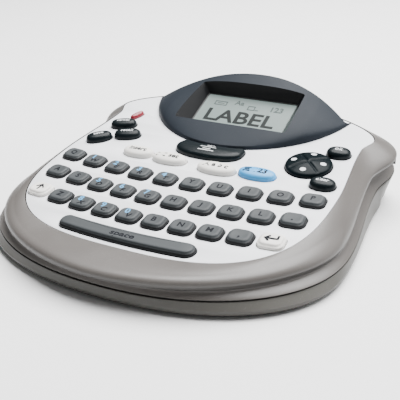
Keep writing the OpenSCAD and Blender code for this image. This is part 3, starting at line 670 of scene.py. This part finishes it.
# name: (width, depth, turn in degrees, height, material, slot)
OVALS = {
    "key_insert": (17, 9.4, 0, 2.8, KEY_WHITE, "key_white"),
    "key_settings": (19, 9.4, 0, 2.8, KEY_WHITE, "key_white"),
    "key_format": (20.4, 9.4, 0, 2.8, KEY_WHITE, "key_white"),
    "key_mode": (19, 9.4, 0, 2.8, KEY_BLUE, "key_blue"),
    "key_cancel": (14.4, 9, 20, 3.4, KEY_DARK, "key_dark"),
    "key_save": (14, 9, 40, 3.4, KEY_DARK, "key_dark"),
    "key_recall": (14.4, 9.4, 20, 3.4, KEY_DARK, "key_dark"),
    "key_power": (3.8, 9.2, -17, 2.2, KEY_RED, "key_red"),
    "key_ok": (12, 9, 0, 3.4, KEY_DARK, "key_dark"),
    "key_clear": (12.5, 8.8, 0, 3.4, KEY_DARK, "key_dark"),
}


def keys():
    """Every key as (node, shape, u, v, turn, height, top material, skirt material, slot)."""
    made = []
    for node in list(LETTERS) + ["key_shift", "key_enter"]:
        u, v = spot(node)
        white = node in ("key_shift", "key_enter")
        # For the grey keys and the space bar the skirt material is painted shade, a darker grey on their
        # sides.
        made.append((node, letter_shape, u, v, math.atan(2 * ROW_BOW * u) / 2, KEY_H,
                     KEY_WHITE if white else KEY_GREY, KEY_WHITE if white else KEY_SKIRT_SHADE,
                     "key_white" if white else "key_grey"))
    for node, (w, d, turn, height, mat, slot) in OVALS.items():
        u, v = spot(node)
        made.append((node, oval_shape(w, d), u, v, math.radians(turn), height, mat, mat, slot))
    low = plane_box("key_space")[0]
    space_v = low[1] + FLANGE + SPACE_D / 2
    made.append(("key_space", bar_shape, 0, space_v, 0, KEY_H, KEY_GREY, KEY_SKIRT_SHADE, "key_grey"))
    made.append(("key_print", tongue_shape, 0, TONGUE_V, 0, TONGUE_H, KEY_DARK, KEY_DARK, "key_dark"))
    return made


KEYS = keys()


def keypad_panel():
    """The white panel, as a filled flat curve with a hole for each key, then made a mesh."""
    ease_r = 0.15
    holes = [turned(shape(KEY_GAP + ease_r), turn) + [u, v] for _, shape, u, v, turn, *_ in KEYS]
    nu, nv = spot("nav_disc")
    holes.append(oval(PAD_OPENING, PAD_OPENING, 2, 96) + [nu, nv])
    holes.append(rounded(*COVER_OPENING) + [0, COVER_OPENING_Y])
    flat = outline(PANEL_LINE, PANEL_GAP + ease_r) / [1, math.cos(TILT)]
    curve = bpy.data.curves.new("panel_curve", "CURVE")
    curve.dimensions = "2D"
    curve.fill_mode = "BOTH"
    curve.extrude = PANEL_T / 2 - ease_r
    curve.bevel_depth = ease_r
    curve.bevel_resolution = 1
    for pts in [flat] + holes:
        line = curve.splines.new("POLY")
        line.points.add(len(pts) - 1)
        for p, (x, y) in zip(line.points, pts):
            p.co = (x, y, 0, 1)
        line.use_cyclic_u = True
    source = bpy.data.objects.new("panel_curve", curve)
    bpy.context.scene.collection.objects.link(source)
    bpy.context.view_layer.update()
    mesh = bpy.data.meshes.new_from_object(source.evaluated_get(bpy.context.evaluated_depsgraph_get()))
    bpy.data.objects.remove(source)
    bm = bmesh.new()
    bm.from_mesh(mesh)
    bmesh.ops.remove_doubles(bm, verts=bm.verts, dist=0.001)
    for v in bm.verts:
        v.co = Vector(to_world([(v.co.x, v.co.y, v.co.z - PANEL_T / 2)])[0] * MM)
    bm.to_mesh(mesh)
    bm.free()
    panel = dress(bpy.data.objects.new("keyboard_panel", mesh), PANEL, "casing", 35)
    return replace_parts(panel, "keypad_panel")


# [how far in from the key's outline, height as a part of the key's, 1 being its top]
PILLOW = [(0.1, -1.2), (0, -0.4), (0, 0.3), (0.08, 0.42), (0.3, 0.52), (0.62, 0.58), (0.8, 0.64),
          (0.95, 0.78), (1.15, 0.89), (1.5, 0.96), (2.0, 1.0)]
DOME = [(0.1, -1.0), (0, -0.3), (0, 0.3), (0.08, 0.45), (0.25, 0.6), (0.55, 0.74), (1.0, 0.86), (1.6, 0.94),
        (2.3, 1.0)]
SKIRT_RINGS = 5
# The rings of a key's top, as parts of the way out from its middle
TOP_RINGS = (0.86, 0.7, 0.52, 0.34, 0.16)
# How deep the middle of a key's top is dished, or below 0 how high it is crowned
PILLOW_DISH, DOME_DISH, POWER_DISH = 0.22, -0.35, -0.15


def key_cap(node, shape, u, v, turn, height, top_mat, skirt_mat, slot):
    """One key: rings up its side, then rings to the middle of a dished or crowned top."""
    pillow = shape in (letter_shape, bar_shape)
    profile = PILLOW if pillow else DOME
    dish = PILLOW_DISH if pillow else DOME_DISH
    if node == "key_power":
        profile = [(by * 0.6, up) for by, up in DOME]
        dish = POWER_DISH
    rings = []
    for by, up in profile:
        pts = shape(-by)
        rings.append(ring(pts, up * height))
    last = rings[-1]
    middle = last[:, :2].mean(0)
    for s in TOP_RINGS:
        inner = middle + (last[:, :2] - middle) * s
        rings.append(np.column_stack([inner, np.full(len(inner), height - dish * (1 - s * s))]))
    if node == "key_print":
        for r in rings[2:]:
            r[:, 2] += (r[:, 2] / height) * tongue_drop(r[:, 1])
    n = len(last)
    verts, faces = lofted(rings)
    local = np.column_stack([turned(verts[:, :2], turn) + [u, v], verts[:, 2]])
    cap = piece(node.replace("key", "cap"), to_world(local), faces, [top_mat, skirt_mat], node, slot, 40)
    # The lower side rings take the skirt material: on the grey keys this is painted shade on their sides.
    if skirt_mat is not top_mat:
        for f in cap.data.polygons[: n * SKIRT_RINGS]:
            f.material_index = 1
    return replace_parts(cap, node)


def tongue_drop(y):
    """The print button is lower where it meets the display cover."""
    return -1.2 * ease(np.clip((y + 2) / 9, 0, 1))


def nav_disc():
    """The four-way pad: a crowned disc with a cross of grooves."""
    u, v = spot("nav_disc")
    sides, top_r, top_w, crown = 128, 10.4, 2.05, 1.25
    groove_depth, groove_half = 0.45, 0.55
    profile = [(10.6, -1.9), (11.2, -1.3), (11.3, -0.6), (11.3, 0.9), (11.2, 1.35), (10.9, 1.75),
               (top_r, top_w)]
    inwards = (0.94, 0.87, 0.8, 0.72, 0.64, 0.56, 0.48, 0.4, 0.32, 0.24, 0.16, 0.08)
    profile += [(top_r * s, top_w + crown * (1 - s * s)) for s in inwards]
    rings = []
    for r, w in profile:
        a = np.arange(sides) * 2 * math.pi / sides
        x, y = r * np.cos(a), r * np.sin(a)
        off = np.minimum(np.abs(x - y), np.abs(x + y)) / math.sqrt(2)
        groove = groove_depth * np.exp(-(off / groove_half) ** 2) * (r < 10.5) * min(1, (10.6 - r) / 1.5)
        rings.append(np.column_stack([x + u, y + v, w - groove]))
    verts, faces = lofted(rings)
    disc = piece("four_way_pad", to_world(verts), faces, PAD_DARK, "nav_disc", "key_dark", 50)
    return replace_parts(disc, "nav_disc")


# ---------------------------------------------------------------- printing on the object
def outlined(draw):
    """Points and faces of flat lettering or of an icon, a hair thick, in millimetres."""
    obj = bpy.data.objects.new("print", draw)
    bpy.context.scene.collection.objects.link(obj)
    bpy.context.view_layer.update()
    mesh = bpy.data.meshes.new_from_object(obj.evaluated_get(bpy.context.evaluated_depsgraph_get()))
    verts = np.array([v.co for v in mesh.vertices]).reshape(-1, 3)
    faces = [tuple(p.vertices) for p in mesh.polygons]
    bpy.data.objects.remove(obj)
    bpy.data.meshes.remove(mesh)
    return verts, faces


# Half the thickness of a print, and its gap above the surface
INK_T, INK_GAP = 0.02, 0.015


def word(text, size, weight=0.0, wide=1.0):
    """Lettering: its size in millimetres, how much bolder and how much wider it is made."""
    curve = bpy.data.curves.new("word", "FONT")
    curve.body = text
    curve.size = size
    curve.align_x, curve.align_y = "CENTER", "CENTER"
    curve.extrude = INK_T
    curve.offset = weight
    curve.resolution_u = 3
    verts, faces = outlined(curve)
    verts[:, 0] *= wide
    return verts, faces


def strokes(paths, width):
    """Line drawings: each path is a list of points, drawn as a band with square ends."""
    verts, faces = [], []
    for path in paths:
        for a, b in zip(path, path[1:]):
            a, b = np.array(a, float), np.array(b, float)
            along = (b - a) / max(1e-9, np.linalg.norm(b - a)) * width / 2
            side = np.array([-along[1], along[0]])
            k = len(verts)
            flat = [a - along - side, b + along - side, b + along + side, a - along + side]
            verts += [(*p, -INK_T) for p in flat] + [(*p, INK_T) for p in flat]
            faces += [(k + 3, k + 2, k + 1, k), (k + 4, k + 5, k + 6, k + 7)]
            faces += [(k + i, k + (i + 1) % 4, k + 4 + (i + 1) % 4, k + 4 + i) for i in range(4)]
    return np.array(verts), faces


def gathered(marks):
    """Several marks as one: each is (points and faces, x, y)."""
    verts, faces = [], []
    for (pts, polys), x, y in marks:
        faces += [tuple(i + len(verts) for i in f) for f in polys]
        verts += [tuple(p) for p in pts + [x, y, 0]]
    return np.array(verts), faces


def surface_height(cap, u, v):
    """Height of a piece above the keyboard's plane at each place, by looking straight down on it."""
    normal = Vector((0, -math.sin(TILT), math.cos(TILT)))
    heights = []
    for x, y in zip(u, v):
        start = Vector(to_world([(x, y, 20)])[0] * MM)
        hit, place, _, _ = cap.ray_cast(start, -normal)
        heights.append(20 - (start - place).length / MM if hit else np.nan)
    heights = np.array(heights)
    return np.where(np.isnan(heights), np.nanmean(heights), heights)


def print_on(name, cap, mark, u, v, turn, mat, slot, body):
    """Lays a mark on the surface of a key, each point at the height of the surface there."""
    pts, faces = mark
    flat = turned(pts[:, :2], turn) + [u, v]
    w = surface_height(cap, flat[:, 0], flat[:, 1]) + pts[:, 2] + INK_T + INK_GAP
    return piece(name, to_world(np.column_stack([flat, w])), faces, mat, body, slot, None)


def arrow(length, head):
    tip = -length / 2
    return [[(tip, 0), (length / 2, 0)], [(tip + head, head), (tip, 0), (tip + head, -head)]]


def frame_icon(w, h):
    return [[(-w / 2, -h / 2), (w / 2, -h / 2), (w / 2, h / 2), (-w / 2, h / 2), (-w / 2, -h / 2)]]


DIGITS = {"key_w": "1", "key_e": "2", "key_r": "3", "key_t": "4", "key_d": "5", "key_f": "6", "key_g": "7",
          "key_x": "8", "key_c": "9", "key_v": "0"}
ICONS = {
    "key_shift": (strokes([[(-1.9, 0), (0, 2.0), (1.9, 0)], [(0, 1.8), (0, -2.0)]], 0.8),
                  INK_DARK, "print_dark"),
    "key_enter": (strokes(arrow(5.4, 1.5) + [[(2.7, 0), (2.7, 1.8)]], 1.0), INK_DARK, "print_dark"),
    "key_insert": (word("insert", 4.2, 0.13), INK_DARK, "print_dark"),
    "key_settings": (gathered([(strokes(frame_icon(4.4, 2.6), 0.8), -4.4, 0),
                               (word("set", 4.4, 0.14), 2.6, 0)]), INK_DARK, "print_dark"),
    "key_format": (gathered([(word("A", 5.2, 0.2), -5.0, 0.2), (word("a b c", 4.4, 0.16), 2.2, 0.1)]),
                   INK_DARK, "print_dark"),
    "key_mode": (gathered([(strokes(frame_icon(2.6, 2.6) + [[(-0.8, 0), (0.8, 0)]], 1.0), -5.0, 0),
                           (word("123", 4.8, 0.18), 1.8, 0)]), INK_DARK, "print_dark"),
    "key_cancel": (word("cancel", 2.9, 0.05), INK_WHITE, "print_white"),
    "key_save": (word("save", 3.1, 0.05), INK_WHITE, "print_white"),
    "key_recall": (word("recall", 3.1, 0.05), INK_WHITE, "print_white"),
    "key_ok": (word("ok", 3.6, 0.07), INK_WHITE, "print_white"),
    "key_clear": (word("clear", 3.1, 0.05), INK_WHITE, "print_white"),
    "key_space": (word("space", 4.6, 0.12, 1.2), INK_DARK, "print_dark"),
    "key_print": (strokes([[(-4.1, -2.0), (-4.1, 1.2), (4.1, 1.2), (4.1, -2.0), (-4.1, -2.0)],
                           [(-2.3, 1.2), (-1.5, 3.9), (2.2, 3.9), (2.6, 1.2)], [(-1.9, -0.7), (1.9, -0.7)],
                           [(1.2, 2.4), (-0.8, 2.4)]], 0.5), INK_WHITE, "print_white"),
}
# How far marks are moved from the middle of their keys: (right, up)
DIGIT_PLACE, LETTER_PLACE = (-1.1, 1.4), (0.9, -1.5)
NUDGE = {"key_print": (0, -1.2), "key_space": (0, -0.2)}
LETTER_SIZE, STOP_SIZE, DIGIT_SIZE = 4.2, 6, 4.6


def legends(caps):
    """Prints a letter, a digit or an icon on each key."""
    for node, cap in caps.items():
        *_, u, v, turn = next(k for k in KEYS if k[0] == node)[:5]
        if node in LETTERS:
            aside, up = turned(np.array([LETTER_PLACE]), turn)[0] if node in DIGITS else (0, 0)
            glyph = word(LETTERS[node], LETTER_SIZE if LETTERS[node].isalpha() else STOP_SIZE, 0.12)
            print_on(node.replace("key", "letter"), cap, glyph, u + aside, v + up, turn,
                     INK_DARK, "print_dark", node)
        if node in DIGITS:
            aside, up = turned(np.array([DIGIT_PLACE]), turn)[0]
            glyph = word(DIGITS[node], DIGIT_SIZE, 0.13)
            print_on(node.replace("key", "digit"), cap, glyph, u + aside, v + up, turn,
                     INK_BLUE, "print_blue", node)
        if node in ICONS:
            mark, mat, slot = ICONS[node]
            du, dv = NUDGE.get(node, (0, 0))
            print_on(node.replace("key", "icon"), cap, mark, u + du, v + dv, turn, mat, slot, node)


def pad_marks(pad):
    """Prints the four dots on the pad."""
    u, v = spot("nav_disc")
    steps, reach = 20, 7.4
    dot = oval(2.9, 2.5, 2, steps)
    verts, faces = lofted([ring(dot, z) for z in (-INK_T, INK_T)])
    dots = gathered([((verts, faces), reach * x, reach * y) for x, y in ((1, 0), (-1, 0), (0, 1), (0, -1))])
    print_on("pad_marks", pad, dots, u, v, 0, INK_WHITE, "print_white", "nav_disc")


# ---------------------------------------------------------------- the display
# The cover: height of its crest, y of its rear and how far that sweeps forward at the corners, how much
# lower the corners are, the height of its front edge and half its width
CREST_Z, COVER_REAR, COVER_SWEEP = cad_high.z / MM, 83.4, 16
CORNER_DROP, COVER_EDGE = 17.2, 1.4
COVER_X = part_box("display_cover")[1].x / MM
# The display: its middle, its tilt, and the width and height of its glass
LCD_CENTRE = Vector((0, 60.8, 38.4))
LCD_TILT = math.radians(23.4)
LCD_W, LCD_H = 53.2, 23.9
# The x at which the cover's curves reach their full amount, and the radii of its front and rear edges
COVER_HALF = 57
FRONT_EDGE_R, REAR_EDGE_R = 0.8, 2.0


def cover_front(x):
    return COVER_Y - math.sqrt(COVER_R ** 2 - x * x)


def cover_rear(x):
    return COVER_REAR - COVER_SWEEP * (x / COVER_HALF) ** 2


def cover_height(x, s):
    """Height of the cover's top: s is 0 at its front edge and 1 at its rear edge."""
    low = panel_z(cover_front(x)) + COVER_EDGE * (1 - 0.6 * rise(abs(x), 45, COVER_HALF))
    crest = max(CREST_Z - CORNER_DROP * abs(x / COVER_HALF) ** 2.2, low)
    return mix(low, crest, s ** max(0.5, 0.95 - 0.3 * (x / 33) ** 2))


def lcd_world(pts):
    """From the display's own right, up and outward distances to the frame, in millimetres."""
    turn = Matrix.Translation(LCD_CENTRE) @ Matrix.Rotation(LCD_TILT, 4, "X")
    return np.array([turn @ Vector(p) for p in pts])


def display_cover():
    """The domed cover, with the recess that the display is read through."""
    across, along = 96, 56
    rows = []
    for j in range(along + 1):
        row = []
        for i in range(across + 1):
            x = COVER_X * math.sin(math.pi / 2 * (2 * i / across - 1))
            y0 = cover_front(x)
            y1 = max(y0 + 0.4, cover_rear(x))
            t = ease(j / along) * 0.35 + 0.65 * j / along
            y = mix(y0, y1, t)
            z = cover_height(x, t)
            span = y1 - y0
            front_r, rear_r = min(FRONT_EDGE_R, span / 3), min(REAR_EDGE_R, span / 3)
            z -= front_r - math.sqrt(front_r ** 2 - max(0, front_r - (y - y0)) ** 2)
            z -= rear_r - math.sqrt(max(0, rear_r ** 2 - max(0, rear_r - (y1 - y)) ** 2))
            row.append((x, y, max(z, panel_z(y) + 0.25)))
        rows.append(row)
    top = [p for r in rows for p in r]
    n = across + 1
    below = [(x, y, panel_z(y) + 0.03) for x, y, _ in top]
    faces = []
    k = len(top)
    for j in range(along):
        for i in range(across):
            a, b, c, d = j * n + i, j * n + i + 1, (j + 1) * n + i + 1, (j + 1) * n + i
            faces += [(a, b, c, d), (k + d, k + c, k + b, k + a)]
    edge = list(range(n)) + [j * n + across for j in range(1, along + 1)]
    edge += [along * n + i for i in range(across - 1, -1, -1)] + [j * n for j in range(along - 1, 0, -1)]
    faces += [(b, a, k + a, k + b) for a, b in zip(edge, edge[1:] + edge[:1])]
    cover = piece("display_dome", top + below, faces, [COVER, RECESS_BLACK_AND_SHADE], "casing", "cover", None)
    w, h, flare = LCD_W / 2 + 0.5, LCD_H / 2 + 0.5, 1.6
    low = rounded(2 * w, 2 * h, 0.8, 4)
    high = rounded(2 * w + 13 * flare, 2 * h + 13 * flare, 2.5, 4) + [0, -flare]
    verts, polys = lofted([ring(low, -1.5), ring(low, 0.0), ring(high, 9 * flare)])
    # The cut walls of the recess take the near-black material: partly a black frame, partly painted shade in
    # the recess.
    cut(cover, piece("cutter", lcd_world(verts), polys, RECESS_BLACK_AND_SHADE, None, None, None))
    pocket_w, pocket_h = LCD_W / 2 + 3.1, LCD_H / 2 + 2.6
    corners = [(x, y, z) for z in (-12, -0.25) for x, y in
               ((-pocket_w, -pocket_h), (pocket_w, -pocket_h), (pocket_w, pocket_h), (-pocket_w, pocket_h))]
    box_faces = [(3, 2, 1, 0), (4, 5, 6, 7)] + [(i, (i + 1) % 4, 4 + (i + 1) % 4, 4 + i) for i in range(4)]
    cut(cover, piece("cutter", lcd_world(corners), box_faces, RECESS_BLACK_AND_SHADE, None, None, None))
    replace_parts(cover, "display_cover")
    return shaded(cover, 30)


def display():
    """The display: a dark frame, a grey-green glass and what it shows."""
    fw, fh = LCD_W / 2 + 3, LCD_H / 2 + 2.5
    outer = rounded(2 * fw, 2 * fh, 1.2, 4)
    inner = rounded(LCD_W, LCD_H, 0.6, 4)
    levels = [(outer, -3.4), (outer, -0.45), (outer * 0.997, -0.32), (inner * 1.006, -0.32), (inner, -0.45),
              (inner, -1.8), (inner * 0.9, -1.8), (inner * 0.9, -3.4)]
    verts, faces = lofted([ring(p, z) for p, z in levels], hoop=True)
    bezel = piece("display_frame", lcd_world(verts), faces, LCD_FRAME, "casing", "lcd", 35)
    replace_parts(bezel, "lcd_module")
    pane = rounded(LCD_W - 0.2, LCD_H - 0.2, 0.6, 4)
    levels = [(pane, -1.7), (pane, -0.7), (pane * 0.995, -0.6)]
    verts, faces = lofted([ring(p, z) for p, z in levels])
    piece("display_glass", lcd_world(verts), faces, LCD_GLASS, "casing", "lcd", 35)
    dark = gathered([(word("LABEL", 13.5, 0.32, 1.15), -1.0, -4.8)])
    soft = gathered([
        (strokes(frame_icon(7.0, 2.8) + [[(-1.8, 0), (1.8, 0)]], 0.6), -16.5, 5.6),
        (word("Aa", 5.0, 0.1), -5.5, 7.4),
        (strokes(frame_icon(3.8, 2.8) + [[(2.8, -1.2), (4.2, -1.2)]], 0.6), 2.5, 4.6),
        (word("123", 5.4, 0.14), 17.0, 5.6),
    ])
    for name, (pts, polys), mat in (("display_text", dark, LCD_DARK), ("display_icons", soft, LCD_FAINT)):
        raised = pts + [0, 0, -0.6 + INK_T + 0.01]
        piece(name, lcd_world(raised), polys, mat, "casing", "print_dark", None)


# ---------------------------------------------------------------- parts that keep their CAD shape
def machined(node, name, mat, bevel=0.25, sharp=40):
    """A copy of a CAD node with its flat faces made whole and its edges broken."""
    mesh = nodes[node].data.copy()
    bm = bmesh.new()
    bm.from_mesh(mesh)
    bmesh.ops.remove_doubles(bm, verts=bm.verts, dist=2e-6)
    bmesh.ops.dissolve_limit(bm, angle_limit=math.radians(1), verts=bm.verts, edges=bm.edges)
    bm.to_mesh(mesh)
    bm.free()
    obj = bpy.data.objects.new(name, mesh)
    bpy.context.scene.collection.objects.link(obj)
    edges = obj.modifiers.new("edges", "BEVEL")
    edges.width = bevel * MM
    edges.segments = 2
    edges.limit_method = "ANGLE"
    edges.angle_limit = math.radians(sharp)
    settle(obj)
    body = nodes[node]["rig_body"]
    dress(obj, mat, body, sharp)
    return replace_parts(obj, node)


def mechanics():
    """Every machined piece: its CAD node, its name, its material and the bevel of its edges."""
    for node, name, mat, bevel in (
        ("battery_door", "base_door", SHELL_LOWER, 0.25),
        ("tape_door", "rear_door", SHELL_UPPER, 0.3),
        ("cutter_button", "cutter_push", SHELL_UPPER, 0.3),
        ("tape_cassette", "cassette_block", CASSETTE, 0.4),
        ("print_engine", "engine_frame", ENGINE, 0.15),
        ("platen_roller", "platen", RUBBER, 0.15),
        ("battery_cells", "cells", CELL, 0.3),
        ("battery_contacts", "contacts", STEEL, 0.08),
        ("case_screws", "screws", STEEL, 0.12),
        ("rubber_feet", "feet", RUBBER, 0.2),
        ("main_board", "board", BOARD, 0.1),
        ("nav_pivot", "pad_pivot", ENGINE, 0.1),
    ):
        machined(node, name, mat, bevel)


# ---------------------------------------------------------------- the scene around it
# name: (place in metres, size in metres, power in watts, what it is aimed at)
LIGHTS = {
    "top": ((0.1, 0.4, 1.1), (1.3, 1.0), 68, (0, 0, 0)),
    "right_rear": ((0.8, 0.5, 0.5), (0.6, 0.6), 3, (0, 0, 0.02)),
}
WORLD_STRENGTH, FLOOR_HALF = 0.2, 3000


def light(name, place, size, power, aim):
    lamp = bpy.data.lights.new(name, "AREA")
    lamp.shape = "RECTANGLE"
    lamp.size, lamp.size_y = size
    lamp.energy = power
    obj = bpy.data.objects.new(name, lamp)
    obj.location = place
    obj.rotation_euler = (Vector(aim) - Vector(place)).to_track_quat("-Z", "Y").to_euler()
    bpy.context.scene.collection.objects.link(obj)


def surroundings():
    far = FLOOR_HALF
    paper = plastic("floor_white", (0.92, 0.92, 0.92), 0.7, grain=2, bump=0.0, mottle=0.01)
    floor = piece("floor", [(-far, -far, 0), (far, -far, 0), (far, far, 0), (-far, far, 0)],
                  [(0, 1, 2, 3)], paper, None, None, None)
    for name, about in LIGHTS.items():
        light(name, *about)
    world = bpy.data.worlds.new("studio")
    world.use_nodes = True
    world.node_tree.nodes["Background"].inputs["Color"].default_value = (1, 1, 1, 1)
    world.node_tree.nodes["Background"].inputs["Strength"].default_value = WORLD_STRENGTH
    bpy.context.scene.world = world


# The camera's azimuth, height angle and roll in degrees, and its distance and aim in millimetres
VIEW_AZ, VIEW_EL, VIEW_ROLL, VIEW_DIST = 28.931, 24.5, -1.09, 336.8
VIEW_AIM = Vector((16.2, -17.8, 21.3))
LENS = 65.92
# Part of the picture's width by which it is shifted, to keep clear of the left edge
VIEW_SHIFT = -0.004


def camera():
    az, el, roll = (math.radians(a) for a in (VIEW_AZ, VIEW_EL, VIEW_ROLL))
    back = Vector((math.sin(az) * math.cos(el), -math.cos(az) * math.cos(el), math.sin(el)))
    right = Vector((0, 0, 1)).cross(back).normalized()
    up = back.cross(right)
    right, up = (right * math.cos(roll) + up * math.sin(roll),
                 up * math.cos(roll) - right * math.sin(roll))
    cam = bpy.data.cameras.new("camera")
    cam.lens = LENS
    cam.sensor_width = 36
    cam.shift_x = VIEW_SHIFT
    cam.clip_start, cam.clip_end = 0.01, 20
    obj = bpy.data.objects.new("camera", cam)
    facing = Matrix((right, up, back)).transposed().to_4x4()
    obj.matrix_world = Matrix.Translation((VIEW_AIM + back * VIEW_DIST) * MM) @ facing
    bpy.context.scene.collection.objects.link(obj)
    bpy.context.scene.camera = obj


camera()
upper_shell()
lower_shell()
keypad_panel()
caps = {k[0]: key_cap(*k) for k in KEYS}
pad = nav_disc()
legends(caps)
pad_marks(pad)
display_cover()
display()
mechanics()
surroundings()
